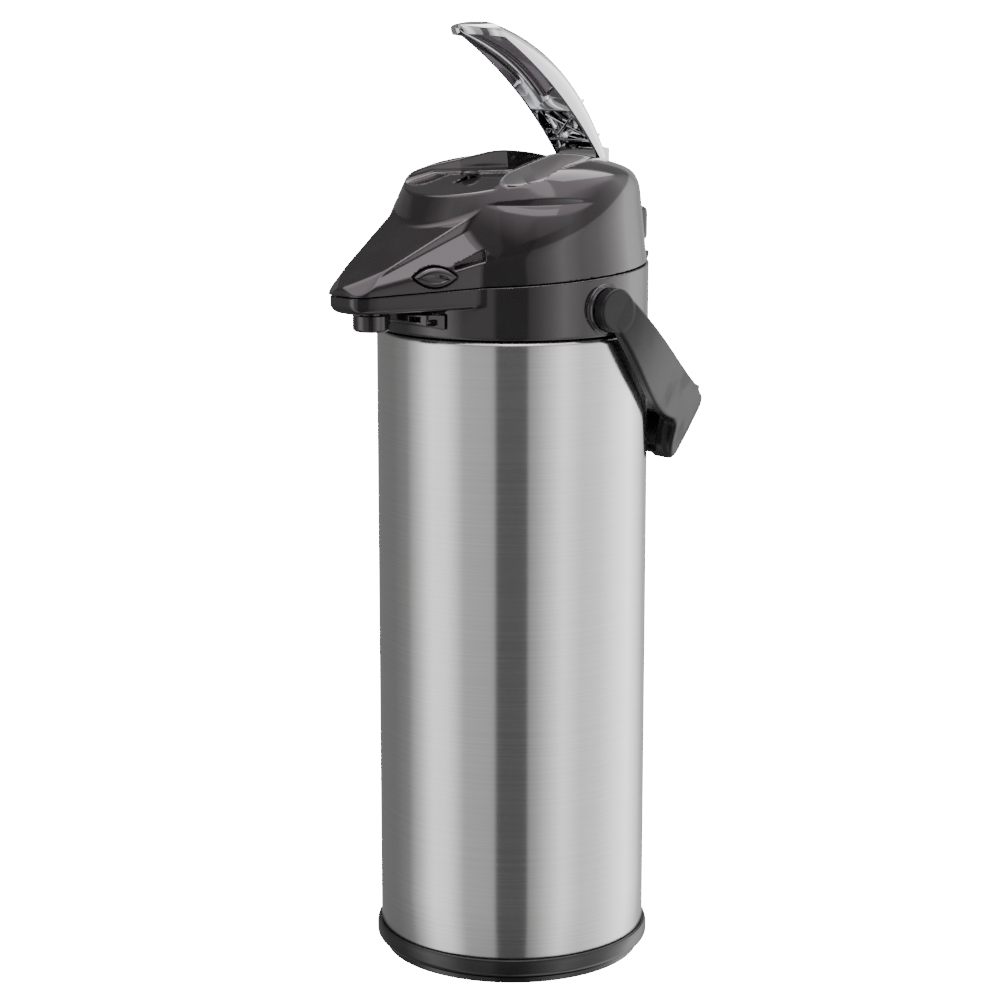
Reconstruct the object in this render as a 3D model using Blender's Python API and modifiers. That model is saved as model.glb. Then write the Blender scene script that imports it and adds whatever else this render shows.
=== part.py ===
"""Thermal coffee airpot with a pump lever, a carrying bail and a turntable foot.

Frame: origin at the middle of the foot's underside, +Z up, the beak points to -Y
and the bail turns about X.  Sizes below are in millimetres; the helpers turn them
into metres.
"""
from math import cos, pi, radians, sin, sqrt

import bmesh
import bpy
from mathutils import Vector

MM = 0.001
GAP = 0.3                     # clearance between pieces that touch

# ---- driving dimensions -----------------------------------------------------
BODY_R = 72.5                 # outside of the steel shell
SHELL_WALL = 0.8
SHELL_BOTTOM = 14.3
SHELL_TOP = 343.7
NECK_R = 33.0                 # outside of the liner's mouth
NECK_TOP = 346.0
LINER_R = 66.0

FOOT_R = 74.8                 # widest part of the foot ring
TURNTABLE_R = 70.0
TURNTABLE_TOP = 3.9

SEAM_Z = 375.2                # lid seam at the axis; the seam plane rises to the rear
SEAM_SLOPE = 0.068
WALL = 2.6                    # plastic wall of lid and collar

BEAK_ROOT = (44.0, -56.5)     # x, y where the beak's side meets the round wall
BEAK_TIP = (13.0, -116.0)
DECK_REAR = (30.0, -60.0, 404.0)
DECK_TIP = (11.5, -115.5, 371.8)

LID_HINGE = (78.0, 379.0)     # y, z
LEVER_HINGE = (52.0, 424.0)
HANDLE_PIVOT_Z = 358.5
SOCKET_FACE = 74.2            # |x| of the bail sockets' outer face

PUMP_Y = 14.0                 # axis of bellows, spring and plunger
SIPHON_Y = -26.0              # axis of the dip tube
NOZZLE_Y = -96.5

FLOOR_REAR_Z = 424.3          # floor of the recess under the lever
FLOOR_LIP = (-56.5, 416.6)
FLOOR_BREAK_Y = -29.0

ROUND = 40                    # sides of large round pieces
LID_ROUND = 64                # sides of the lid's round body
SMALL_ROUND = 12              # sides of pins and screws

LID_AXIS = (0.0, LID_HINGE[0], LID_HINGE[1])
LEVER_AXIS = (0.0, LEVER_HINGE[0], LEVER_HINGE[1])
HANDLE_AXIS = (0.0, 0.0, HANDLE_PIVOT_Z)


# ---- scene ------------------------------------------------------------------
def clear_scene():
    for obj in list(bpy.data.objects):
        bpy.data.objects.remove(obj, do_unlink=True)


def collection(name):
    group = bpy.data.collections.new(name)
    bpy.context.scene.collection.children.link(group)
    return group


def plain_material(name, color, roughness, metallic=0.0):
    mat = bpy.data.materials.new(name)
    mat.use_nodes = True
    shader = mat.node_tree.nodes["Principled BSDF"]
    shader.inputs["Base Color"].default_value = (*color, 1.0)
    shader.inputs["Roughness"].default_value = roughness
    shader.inputs["Metallic"].default_value = metallic
    return mat


clear_scene()
PARTS = collection("thermal_coffee_airpot")
CUTTERS = collection("cutters")
STEEL = plain_material("brushed_steel", (0.62, 0.61, 0.59), 0.32, 1.0)
POLISHED = plain_material("polished_steel", (0.66, 0.66, 0.65), 0.22, 1.0)
CHROME = plain_material("chrome_plate", (0.86, 0.87, 0.88), 0.06, 1.0)
BLACK_GLOSS = plain_material("black_gloss", (0.022, 0.021, 0.022), 0.2)
BLACK_SATIN = plain_material("black_satin", (0.03, 0.03, 0.031), 0.42)
INNER_PLASTIC = plain_material("inner_plastic", (0.12, 0.12, 0.12), 0.5)
RUBBER = plain_material("silicone", (0.5, 0.5, 0.48), 0.7)


# ---- shapes -----------------------------------------------------------------
def add(name, mesh, material, group=PARTS):
    obj = bpy.data.objects.new(name, mesh)
    group.objects.link(obj)
    if material:
        mesh.materials.append(material)
    if group is CUTTERS:
        obj.hide_render = True
        obj.display_type = "WIRE"
    return obj


def from_bmesh(name, bm, material, group=PARTS):
    """The bmesh, drawn in millimetres, as an object in metres."""
    bmesh.ops.scale(bm, vec=(MM, MM, MM), verts=bm.verts)
    mesh = bpy.data.meshes.new(name)
    bm.to_mesh(mesh)
    bm.free()
    mesh.shade_smooth()
    mesh.set_sharp_from_angle(angle=radians(30))
    return add(name, mesh, material, group)


def turned(name, profile, material, steps=ROUND, at=(0.0, 0.0), loop=True, group=PARTS):
    """A profile of (radius, z) turned about a vertical axis through `at`.

    The profile runs outwards over the top and down the outer side.  A loop makes
    a ring; an open profile starts and ends on the axis.
    """
    mesh = bpy.data.meshes.new(name)
    verts = [(r * MM, 0.0, z * MM) for r, z in profile]
    edges = [(i, i + 1) for i in range(len(verts) - 1)]
    if loop:
        edges.append((len(verts) - 1, 0))
    mesh.from_pydata(verts, edges, [])
    obj = add(name, mesh, material, group)
    obj.location = (at[0] * MM, at[1] * MM, 0.0)
    screw = obj.modifiers.new("turn", "SCREW")
    screw.axis = "Z"
    screw.angle = 2 * pi
    screw.steps = steps
    screw.render_steps = steps
    screw.use_merge_vertices = True
    screw.merge_threshold = 1e-6
    return obj


def rod(name, start, end, radius, material=None, sides=SMALL_ROUND, group=PARTS):
    """A round bar between two points."""
    bm = bmesh.new()
    a, b = Vector(start), Vector(end)
    bmesh.ops.create_cone(bm, cap_ends=True, segments=sides, radius1=radius,
                          radius2=radius, depth=(b - a).length)
    bm.transform((b - a).to_track_quat("Z", "Y").to_matrix().to_4x4())
    bmesh.ops.translate(bm, vec=(a + b) / 2, verts=bm.verts)
    return from_bmesh(name, bm, material, group)


def block(name, low, high, material=None, group=PARTS):
    bm = bmesh.new()
    bmesh.ops.create_cube(bm, size=1.0)
    low, high = Vector(low), Vector(high)
    bmesh.ops.scale(bm, vec=high - low, verts=bm.verts)
    bmesh.ops.translate(bm, vec=(low + high) / 2, verts=bm.verts)
    return from_bmesh(name, bm, material, group)


def hull(name, points, material=None, group=PARTS):
    """The smallest convex solid around the points."""
    bm = bmesh.new()
    for point in points:
        bm.verts.new(point)
    made = bmesh.ops.convex_hull(bm, input=bm.verts)
    loose = [v for v in made["geom_interior"] if isinstance(v, bmesh.types.BMVert)]
    bmesh.ops.delete(bm, geom=loose, context="VERTS")
    bmesh.ops.recalc_face_normals(bm, faces=bm.faces)
    return from_bmesh(name, bm, material, group)


def loft(name, rings, material=None, group=PARTS):
    """A closed solid through rings of points, the last ring the highest."""
    bm = bmesh.new()
    rows = [[bm.verts.new(point) for point in ring] for ring in rings]
    count = len(rows[0])
    for low, high in zip(rows, rows[1:]):
        for i in range(count):
            j = (i + 1) % count
            bm.faces.new((low[i], low[j], high[j], high[i]))
    bm.faces.new(list(reversed(rows[0])))
    bm.faces.new(rows[-1])
    bmesh.ops.recalc_face_normals(bm, faces=bm.faces)
    return from_bmesh(name, bm, material, group)


def boolean(target, tool, operation):
    cut = target.modifiers.new(operation.lower() + "_" + tool.name, "BOOLEAN")
    cut.operation = operation
    cut.solver = "EXACT"
    cut.object = tool


def cut(target, *tools):
    for tool in tools:
        boolean(target, tool, "DIFFERENCE")


def join(target, *tools):
    for tool in tools:
        boolean(target, tool, "UNION")


def mirrored(points):
    """The points and their images across the plane x = 0."""
    return [(side * x, y, z) for side in (1, -1) for x, y, z in points]


def axis_empty(name, at, parent=None):
    empty = bpy.data.objects.new(name, None)
    PARTS.objects.link(empty)
    place = Vector(at) * MM
    empty["place"] = tuple(place)
    if parent:
        empty.parent = parent
        place = place - Vector(parent["place"])
    empty.location = place
    return empty


def hang(axis, *objects):
    """Parents pieces to the empty on their joint's axis; they stay where they are."""
    for obj in objects:
        obj.parent = axis
        obj.location = obj.location - Vector(axis["place"])


def seam(y):
    return SEAM_Z + SEAM_SLOPE * y


def floor_z(y):
    """Height of the recess floor: level at the rear, sloping down to the front lip."""
    slope = (FLOOR_REAR_Z - FLOOR_LIP[1]) / (FLOOR_BREAK_Y - FLOOR_LIP[0])
    return min(FLOOR_REAR_Z, FLOOR_REAR_Z + slope * (y - FLOOR_BREAK_Y))


def seam_half(name, above):
    """Everything above or below the tilted seam plane, less half the gap."""
    reach = 160.0
    shift = 0.2 if above else -0.2
    far = 600.0 if above else 200.0
    corners = []
    for x in (-reach, reach):
        for y in (-reach, reach):
            corners.append((x, y, seam(y) - shift))
            corners.append((x, y, far))
    return hull(name, corners, group=CUTTERS)


# ---- vessel and foot --------------------------------------------------------
def make_vessel():
    wall = SHELL_WALL
    r, top, bottom = BODY_R, SHELL_TOP, SHELL_BOTTOM
    turned("body_shell", [
        (NECK_R + 1.2, top), (r - 3.5, top), (r - 1.0, top - 1.0), (r, top - 3.5),
        (r, bottom), (r - wall, bottom), (r - wall, top - 3.8),
        (r - 3.8, top - wall), (NECK_R + 1.2, top - wall)], STEEL)
    turned("inner_liner", [
        (NECK_R - wall, NECK_TOP), (NECK_R, NECK_TOP), (NECK_R, 328.0),
        (48.0, 320.0), (LINER_R, 300.0), (LINER_R, 36.0), (58.0, 26.0), (0.0, 22.0),
        (0.0, 22.0 + wall), (57.6, 26.0 + wall), (LINER_R - wall, 36.4),
        (LINER_R - wall, 299.6), (47.4, 319.2), (NECK_R - wall, 327.2)],
        POLISHED)
    turned("liner_pad", [
        (20.0, 21.6), (34.0, 23.9), (34.0, 16.1), (20.0, 16.1)], RUBBER, steps=32)
    plate = turned("bottom_plate", [
        (0.0, 15.8), (69.0, 15.8), (71.2, 17.0), (71.2, 15.8), (69.4, 14.6), (0.0, 14.6)],
        POLISHED, loop=False)
    cut(plate, *[rod(f"plate_hole_{i}", (x, y, 12), (x, y, 18), 1.9, group=CUTTERS)
                 for i, (x, y) in enumerate(base_screw_places())])


def base_screw_places():
    turns = [radians(90 + 120 * i) for i in range(3)]
    return [(44.0 * cos(a), 44.0 * sin(a)) for a in turns]


def make_foot():
    ring = turned("base_ring", [
        (BODY_R + 0.35, 14.2), (BODY_R + 1.3, 13.9), (FOOT_R, 11.2), (FOOT_R, 7.4),
        (FOOT_R - 1.6, 5.0), (FOOT_R - 4.3, 4.2), (67.5, 4.2), (67.5, 6.4), (10.0, 6.4),
        (10.0, 8.4), (66.5, 8.4), (68.5, 13.6), (BODY_R + 0.35, 13.6)], BLACK_SATIN)
    screws = base_screw_places()
    cut(ring, *[rod(f"ring_hole_{i}", (x, y, 4), (x, y, 10), 2.2, group=CUTTERS)
                for i, (x, y) in enumerate(screws)])
    for i, (x, y) in enumerate(screws):
        turned(f"base_screw_{i + 1}", [
            (0.0, 19.0), (1.5, 18.5), (1.5, 6.1), (3.6, 6.1), (3.6, 4.4), (0.0, 4.4)],
            POLISHED, steps=SMALL_ROUND, at=(x, y), loop=False)
    turned("glide_ring", [(52.0, 6.1), (58.0, 6.1), (58.0, 4.2), (52.0, 4.2)], INNER_PLASTIC)

    table = turned("swivel_plate", [
        (0.0, 8.9), (9.6, 8.9), (9.6, TURNTABLE_TOP), (66.0, TURNTABLE_TOP),
        (TURNTABLE_R, 3.2), (TURNTABLE_R, 0.6), (TURNTABLE_R - 0.6, 0.0), (0.0, 0.0)],
        BLACK_SATIN, loop=False)
    cut(table, rod("table_hole", (0, 0, 3), (0, 0, 12), 2.3, group=CUTTERS))
    washer = turned("swivel_washer", [(2.6, 10.4), (14.0, 10.4), (14.0, 9.2), (2.6, 9.2)],
                    POLISHED, steps=32)
    screw = turned("swivel_screw", [
        (0.0, 12.8), (4.4, 12.6), (4.4, 10.7), (2.0, 10.7), (2.0, 3.4), (0.0, 3.4)],
        POLISHED, steps=SMALL_ROUND, loop=False)
    hang(axis_empty("swivel_axis", (0, 0, 0)), table, washer, screw)


# ---- collar with the lower half of the beak ---------------------------------
def beak_tray(inset, low_tip, low_root, high):
    """The lower beak: straight sides that narrow to the tip."""
    root_x, root_y = BEAK_ROOT
    tip_x, tip_y = BEAK_TIP
    corner = 3.0
    tip = [(tip_x - inset, tip_y + inset + corner), (tip_x - corner - inset, tip_y + inset)]
    back = (root_x - inset * 1.2, root_y)
    points = [(*back, low_root), (*back, high), (back[0], root_y + 8.0, low_root),
              (back[0], root_y + 8.0, high)]
    for x, y in tip:
        points += [(x, y, high), (x, y, low_tip + 3.0)]
        points.append((x - 2.0, y + 3.0, low_tip))
    return mirrored(points)


def make_collar():
    collar = turned("collar", [
        (BODY_R - WALL - 1.0, 388.0), (BODY_R, 388.0), (BODY_R, SHELL_TOP + 1.0),
        (BODY_R - 1.0, SHELL_TOP + 0.4), (48.0, SHELL_TOP + 0.4), (48.0, SHELL_TOP + 3.2),
        (BODY_R - WALL - 1.0, SHELL_TOP + 3.2)], BLACK_GLOSS, steps=48)
    tray = hull("tray_outside", beak_tray(0.0, 357.4, 360.5, 380.0), group=CUTTERS)
    cut(tray, rod("nozzle_hole", (0, NOZZLE_Y, 350), (0, NOZZLE_Y, 372), 6.4, sides=24,
                  group=CUTTERS))
    join(collar, tray)
    for side in (1, -1):
        socket = rod(f"socket_{side}", (side * 62, 0, HANDLE_PIVOT_Z),
                     (side * SOCKET_FACE, 0, HANDLE_PIVOT_Z), 13.5, sides=40, group=CUTTERS)
        join(collar, socket)
        y, z = LID_HINGE
        knuckle = [(side * x, y + 5.0 * cos(a), z + 5.0 * sin(a))
                   for x in (13.2, 20.0) for a in arc(0, 330, 12)]
        knuckle += [(side * x, 71.0, h) for x in (13.2, 20.0) for h in (364.0, 378.0)]
        lug = hull(f"knuckle_{side}", knuckle, group=CUTTERS)
        cut(lug, rod(f"knuckle_hole_{side}", (-24, *LID_HINGE), (24, *LID_HINGE), 2.2,
                     group=CUTTERS))
        join(collar, lug)
    cut(collar,
        hull("tray_inside", beak_tray(WALL, 360.0, 363.2, 390.0), group=CUTTERS),
        rod("collar_bore", (0, 0, SHELL_TOP + 4.0), (0, 0, 400), BODY_R - WALL, sides=48,
            group=CUTTERS),
        rod("socket_holes", (-80, 0, HANDLE_PIVOT_Z), (80, 0, HANDLE_PIVOT_Z), 4.3,
            group=CUTTERS),
        seam_half("above_seam", True))
    rod("lid_hinge_pin", (-20.5, *LID_HINGE), (20.5, *LID_HINGE), 1.9, POLISHED)


def arc(start, end, count):
    """Angles from start to end degrees, both included, in radians."""
    return [radians(start + (end - start) * i / (count - 1)) for i in range(count)]


# ---- stopper, dip tube and spout --------------------------------------------
def make_spout():
    stopper = turned("stopper", [
        (0.0, 354.0), (42.0, 354.0), (44.0, 352.5), (44.0, 349.2), (30.6, 349.2),
        (30.6, 338.0), (0.0, 338.0)], INNER_PLASTIC, loop=False)
    cut(stopper,
        rod("siphon_hole", (0, SIPHON_Y, 330), (0, SIPHON_Y, 360), 3.5, group=CUTTERS),
        rod("air_hole", (0, PUMP_Y, 330), (0, PUMP_Y, 360), 4.0, group=CUTTERS))
    turned("neck_gasket", [(31.2, 348.9), (38.0, 348.9), (38.0, 346.3), (31.2, 346.3)],
           RUBBER)
    turned("siphon_tube", [(2.4, 351.0), (3.1, 351.0), (3.1, 30.0), (2.4, 30.0)], POLISHED,
           steps=SMALL_ROUND, at=(0.0, SIPHON_Y))

    bend, run_z = 7.0, 366.0
    low = run_z - bend
    route = [(0, SIPHON_Y, 354.3)]
    route += [(0, SIPHON_Y - bend + bend * cos(a), low + bend * sin(a))
              for a in arc(0, 90, 7)]
    route += [(0, NOZZLE_Y + bend - bend * sin(a), low + bend * cos(a))
              for a in arc(0, 90, 7)]
    route.append((0, NOZZLE_Y, 351.0))
    pipe(route, "spout_tube", 4.0, 1.0, INNER_PLASTIC)

    nozzle = turned("spout_nozzle", [
        (4.5, 356.9), (9.6, 356.9), (9.6, 351.2), (8.4, 349.0), (6.6, 348.4), (4.5, 348.4)],
        BLACK_GLOSS, steps=24, at=(0.0, NOZZLE_Y))
    sleeve = turned("nozzle_sleeve", [(4.5, 358.8), (6.0, 358.8), (6.0, 356.0), (4.5, 356.0)],
                    None, steps=24, at=(0.0, NOZZLE_Y), group=CUTTERS)
    join(nozzle, sleeve)
    bracket = hull("nozzle_bracket", mirrored([
        (26.0, -69.0, 349.0), (26.0, -69.0, 357.0), (22.0, -78.0, 351.0),
        (22.0, -78.0, 357.6), (8.0, -82.0, 353.0), (8.0, -82.0, 357.0)]), BLACK_GLOSS)
    cut(bracket, rod("bracket_clear", (0, 0, 340), (0, 0, 370), BODY_R + GAP, sides=60,
                     group=CUTTERS),
        hull("bracket_top", tray_shadow(), group=CUTTERS))


def tray_shadow():
    """Space of the beak's floor and above, with a gap under it."""
    points = []
    for y, low in ((BEAK_TIP[1] - 5.0, 357.4), (BEAK_ROOT[1] + 8.0, 360.5)):
        points += [(x, y, z) for x in (-60.0, 60.0) for z in (low - 1.2, 400.0)]
    return points


def pipe(route, name, radius, wall, material):
    """A hollow tube along a route: a bevelled curve without caps, with a wall."""
    curve = bpy.data.curves.new(name, "CURVE")
    curve.dimensions = "3D"
    curve.bevel_depth = radius * MM
    curve.bevel_resolution = 2
    curve.use_fill_caps = False
    curve.materials.append(material)
    line = curve.splines.new("POLY")
    line.points.add(len(route) - 1)
    for point, place in zip(line.points, route):
        point.co = (place[0] * MM, place[1] * MM, place[2] * MM, 1.0)
    obj = bpy.data.objects.new(name, curve)
    PARTS.objects.link(obj)
    solid = obj.modifiers.new("wall", "SOLIDIFY")
    solid.thickness = wall * MM
    solid.offset = -1.0
    solid.use_rim = True
    return obj


# ---- lid --------------------------------------------------------------------
def crease(angle):
    """Radius and height of the edge between the round wall and the upper body."""
    turn = min(max((abs(angle) - 38.0) / 85.0, 0.0), 1.0)
    return 71.8 - 4.6 * turn, 384.0 + 36.0 * turn


def front_share(angle):
    """1 over the beak, 0 at the rear, with a smooth change between."""
    turn = min(max((abs(angle) - 45.0) / 80.0, 0.0), 1.0)
    return 1.0 - turn * turn * (3.0 - 2.0 * turn)


def dome_ring(level, inset):
    """One ring of the lid's round body; angles run from -Y towards +X."""
    points = []
    for i in range(LID_ROUND):
        angle = -180.0 + 360.0 * i / LID_ROUND
        share = front_share(angle)

        def mix(front, rear):
            return front * share + rear * (1.0 - share)

        a = radians(angle)
        if level == 0:
            r, z = 72.0, seam(-72.0 * cos(a)) - 6.0
        elif level == 1:
            r, z = crease(angle)
        elif level == 2:
            r, z = mix(64.5, 65.6), mix(408.0, 425.2)
        elif level == 3:
            r, z = mix(57.8, 60.0), mix(421.5, 429.6)
        elif level == 4:
            r, z = mix(54.5, 50.0), mix(428.0, 433.2)
        elif level == 5:
            r, z = mix(28.0, 25.0), mix(433.0, 437.2)
        else:
            r, z = 4.0, 437.4
        r = max(r - inset, 2.0)
        y = -r * cos(a)
        if inset and level:
            z = min(z - inset, floor_z(y) - 4.3)
        points.append((r * sin(a), y, z))
    return points


def dome(name, inset, group=CUTTERS, material=None):
    levels = range(7) if not inset else range(5)
    return loft(name, [dome_ring(level, inset) for level in levels], material, group)


def beak_top(inset):
    root_x, root_y = BEAK_ROOT
    tip_x, tip_y = BEAK_TIP
    deck_x, deck_y, deck_z = DECK_REAR
    end_x, end_y, end_z = DECK_TIP
    back = -34.0 if not inset else -40.0
    drop = inset * 0.9
    side = inset * 1.1
    points = [
        (root_x - side, root_y, 350.0), (root_x - side, back, 350.0),
        (root_x - side, root_y, 385.7 - drop), (root_x - side, back, 385.7 - drop),
        (deck_x - side, deck_y + inset, deck_z - drop), (deck_x - side, back, deck_z - drop),
        (end_x - side, end_y + inset, end_z - drop),
        (tip_x - side, tip_y + inset + 3.0, end_z - drop - 0.5),
        (tip_x - side, tip_y + inset + 3.0, 350.0),
        (tip_x - 3.0 - side, tip_y + inset, end_z - drop - 0.5),
        (tip_x - 3.0 - side, tip_y + inset, 350.0)]
    return mirrored(points)


def recess_cutter():
    """The open trough under the lever, widening to the front."""
    rings = []
    for y, half in ((60.0, 19.4), (14.0, 19.4), (-14.5, 25.0), (FLOOR_BREAK_Y, 30.6),
                    (-41.6, 35.5), (-80.0, 60.0)):
        low, high = floor_z(y), floor_z(y) + 25.0
        rings.append([(-half, y, low), (half, y, low), (half + 3.0, y, high),
                      (-half - 3.0, y, high)])
    return loft("recess", rings, group=CUTTERS)


def button_frame(side):
    """Centre and outward direction of the latch button on one side of the beak."""
    run = Vector((BEAK_TIP[0] - BEAK_ROOT[0], BEAK_TIP[1] - BEAK_ROOT[1], 0.0)).normalized()
    out = Vector((-run.y, run.x, 0.0))
    centre = Vector((31.3, -80.4, 377.2))
    return (Vector((side * centre.x, centre.y, centre.z)),
            Vector((side * out.x, out.y, 0.0)))


def oval_plug(name, side, half_length, half_height, inner, outer, material=None, group=PARTS):
    """An elliptic plug across the beak's side, from inner to outer along its normal."""
    centre, out = button_frame(side)
    along = Vector((-out.y, out.x, 0.0))
    rings = []
    for depth, share in ((inner, 1.0), (outer - 1.2, 1.0), (outer, 0.72)):
        ring = []
        for a in arc(0, 345, 24):
            point = (centre + out * depth + along * (half_length * share * cos(a))
                     + Vector((0, 0, half_height * share * sin(a))))
            ring.append(point)
        rings.append(ring)
    return loft(name, rings, material, group)


def make_lid():
    cover = dome("lid_cover", 0.0, PARTS, BLACK_GLOSS)
    join(cover, hull("beak_outside", beak_top(0.0), group=CUTTERS))
    cut(cover, dome("dome_inside", WALL))
    cut(cover, hull("beak_inside", beak_top(WALL), group=CUTTERS))
    y, z = LEVER_HINGE
    cut(cover,
        block("lever_slot", (-18.8, 37.0, 400.0), (18.8, 59.4, 450.0), group=CUTTERS),
        block("cam_room", (-7.5, 20.0, 405.0), (7.5, 40.0, 422.2), group=CUTTERS),
        recess_cutter())
    cut(cover,
        seam_half("below_seam", False),
        rod("lever_pin_hole", (-24.0, y, z), (24.0, y, z), 2.2, group=CUTTERS),
        block("knob_slot", (-2.2, -39.5, 400.0), (2.2, -26.0, 450.0), group=CUTTERS))
    for side in (1, -1):
        cut(cover, oval_plug(f"button_hole_{side}", side, 11.4, 5.2, -12.0, 12.0,
                             group=CUTTERS))

    base = turned("lid_base", [
        (0.0, 384.4), (66.2, 384.4), (66.2, 382.2), (0.0, 382.2)], INNER_PLASTIC, loop=False)
    cup = rod("pump_cup", (0, PUMP_Y, 358.0), (0, PUMP_Y, 384.4), 31.6, sides=32,
              group=CUTTERS)
    join(base, cup)
    cut(base,
        rod("pump_bore", (0, PUMP_Y, 360.2), (0, PUMP_Y, 390), 29.6, sides=32, group=CUTTERS),
        rod("pump_port", (0, PUMP_Y, 350), (0, PUMP_Y, 366), 4.0, group=CUTTERS),
        block("beak_notch", (-60.0, -80.0, 370.0), (60.0, -52.0, 400.0), group=CUTTERS))
    screws = []
    for i, (x, y) in enumerate(((46.0, -24.0), (-46.0, -24.0), (46.0, 36.0), (-46.0, 36.0))):
        cut(base, rod(f"lid_screw_hole_{i}", (x, y, 375), (x, y, 392), 1.9, group=CUTTERS))
        screws.append(turned(f"lid_screw_{i + 1}", [
            (0.0, 392.0), (1.5, 391.4), (1.5, 381.9), (3.2, 381.9), (3.2, 380.4),
            (0.0, 380.4)], POLISHED, steps=SMALL_ROUND, at=(x, y), loop=False))
    seal = turned("air_seal", [
        (5.5, 357.7), (9.5, 357.7), (9.5, 355.6), (10.5, 354.3), (7.5, 354.3), (5.5, 356.0)],
        RUBBER, steps=32, at=(0.0, PUMP_Y))

    hinge_y, hinge_z = LID_HINGE
    lug = [(side * 12.7, hinge_y + 5.0 * cos(a), hinge_z + 5.0 * sin(a))
           for side in (1, -1) for a in arc(-90, 180, 10)]
    lug += mirrored([(12.7, 73.2, 386.0), (12.7, 82.0, 386.0)])
    hinge = block("hinge_cover", (-20.0, 72.4, 385.4), (20.0, 82.8, 405.0), BLACK_GLOSS)
    join(hinge, hull("hinge_lug", lug, group=CUTTERS))
    cut(hinge, rod("lid_hinge_hole", (-24, *LID_HINGE), (24, *LID_HINGE), 2.2, group=CUTTERS))
    pin = rod("lever_pin", (-23.4, *LEVER_HINGE), (23.4, *LEVER_HINGE), 1.9, POLISHED)
    lid_axis = axis_empty("lid_axis", LID_AXIS)
    hang(lid_axis, cover, base, seal, hinge, pin, *screws)
    return lid_axis


def make_knob(lid_axis):
    """Round lock knob that slides down the sloping floor of the recess."""
    y = FLOOR_BREAK_Y - 0.5
    z = floor_z(y - 5.0) + 0.5
    knob = turned("lock_knob", [
        (0.0, z + 4.4), (4.2, z + 4.0), (5.2, z + 2.8), (5.2, z + 1.6), (1.8, z + 1.6),
        (1.8, z - 8.0), (0.0, z - 8.0)], BLACK_GLOSS, steps=24, at=(0.0, y), loop=False)
    hang(axis_empty("knob_axis", (0.0, y, z), lid_axis), knob)


def make_buttons(lid_axis):
    for side, name in ((1, "right"), (-1, "left")):
        centre, _ = button_frame(side)
        button = oval_plug(f"latch_button_{name}", side, 10.9, 4.7, -5.0, 3.2, BLACK_GLOSS)
        hang(axis_empty(f"button_axis_{name}", centre, lid_axis), button)


# ---- lever and pump ---------------------------------------------------------
def arc_between(start, end, sag, share):
    """Point on the arc from start to end that bulges by sag, at a share of its chord."""
    a, b = Vector(start), Vector(end)
    chord = b - a
    bulge = Vector((chord.y, -chord.x)).normalized() * sag
    return a + chord * share + bulge * (1.0 - (2.0 * share - 1.0) ** 2)


LEVER_LIP = ((48.0, 431.5), (-20.5, 495.8))        # underside edge, root to nose (y, z)
LEVER_TOP = ((57.0, 431.5), (-25.0, 503.6))
LEVER_NOSE = ((-36.5, 499.3), (-37.5, 502.2))
LEVER_HALF = 17.0


def lever_section(share):
    """Lip point, top point and half width of the lever at a share of its length."""
    straight = 0.86
    if share <= straight:
        t = share / straight
        return (arc_between(*LEVER_LIP, 4.9, t), arc_between(*LEVER_TOP, 14.0, t), LEVER_HALF)
    t = (share - straight) / (1.0 - straight)
    lip = Vector(LEVER_LIP[1]).lerp(Vector(LEVER_NOSE[0]), t)
    top = Vector(LEVER_TOP[1]).lerp(Vector(LEVER_NOSE[1]), t)
    return lip, top, LEVER_HALF * sqrt(max(1.0 - (0.97 * t) ** 2, 0.0))


def make_lever(lid_axis):
    across = [(-1.0, 0.0), (-1.0, 0.5), (-0.86, 0.8), (-0.5, 0.95), (0.0, 1.0),
              (0.5, 0.95), (0.86, 0.8), (1.0, 0.5), (1.0, 0.0)]
    bm = bmesh.new()
    rows = []
    for k in range(17):
        share = k / 12 * 0.86 if k <= 12 else 0.86 + 0.14 * sin(radians(90 * (k - 12) / 4))
        lip, top, half = lever_section(share)
        rows.append([bm.verts.new((half * u, *lip.lerp(top, h))) for u, h in across])
    for low, high in zip(rows, rows[1:]):
        for i in range(len(across) - 1):
            bm.faces.new((low[i], high[i], high[i + 1], low[i + 1]))
    bm.normal_update()
    lever = from_bmesh("lever", bm, CHROME)
    shell = lever.modifiers.new("plating", "SOLIDIFY")
    shell.thickness = 2.0 * MM
    shell.offset = -1.0
    shell.use_rim = True

    y, z = LEVER_HINGE
    barrel = [(x, y + 5.0 * cos(a), z + 5.0 * sin(a))
              for x in (-14.5, 14.5) for a in arc(0, 330, 12)]
    barrel += [(x, yy, 436.5) for x in (-14.5, 14.5) for yy in (47.0, 52.5)]
    cam = [(x, y + 4.6 * cos(a), z + 4.6 * sin(a)) for x in (-6, 6) for a in arc(90, 315, 10)]
    cam += [(x, y - 25.0 + 2.5 * cos(a), z - 9.5 + 2.5 * sin(a))
            for x in (-6, 6) for a in arc(0, 330, 12)]
    join(lever, hull("lever_barrel", barrel, group=CUTTERS),
         hull("lever_cam", cam, group=CUTTERS))
    cut(lever, rod("lever_bore", (-30, y, z), (30, y, z), 2.2, group=CUTTERS))
    axis = axis_empty("lever_axis", LEVER_AXIS, lid_axis)
    hang(axis, lever)


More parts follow.
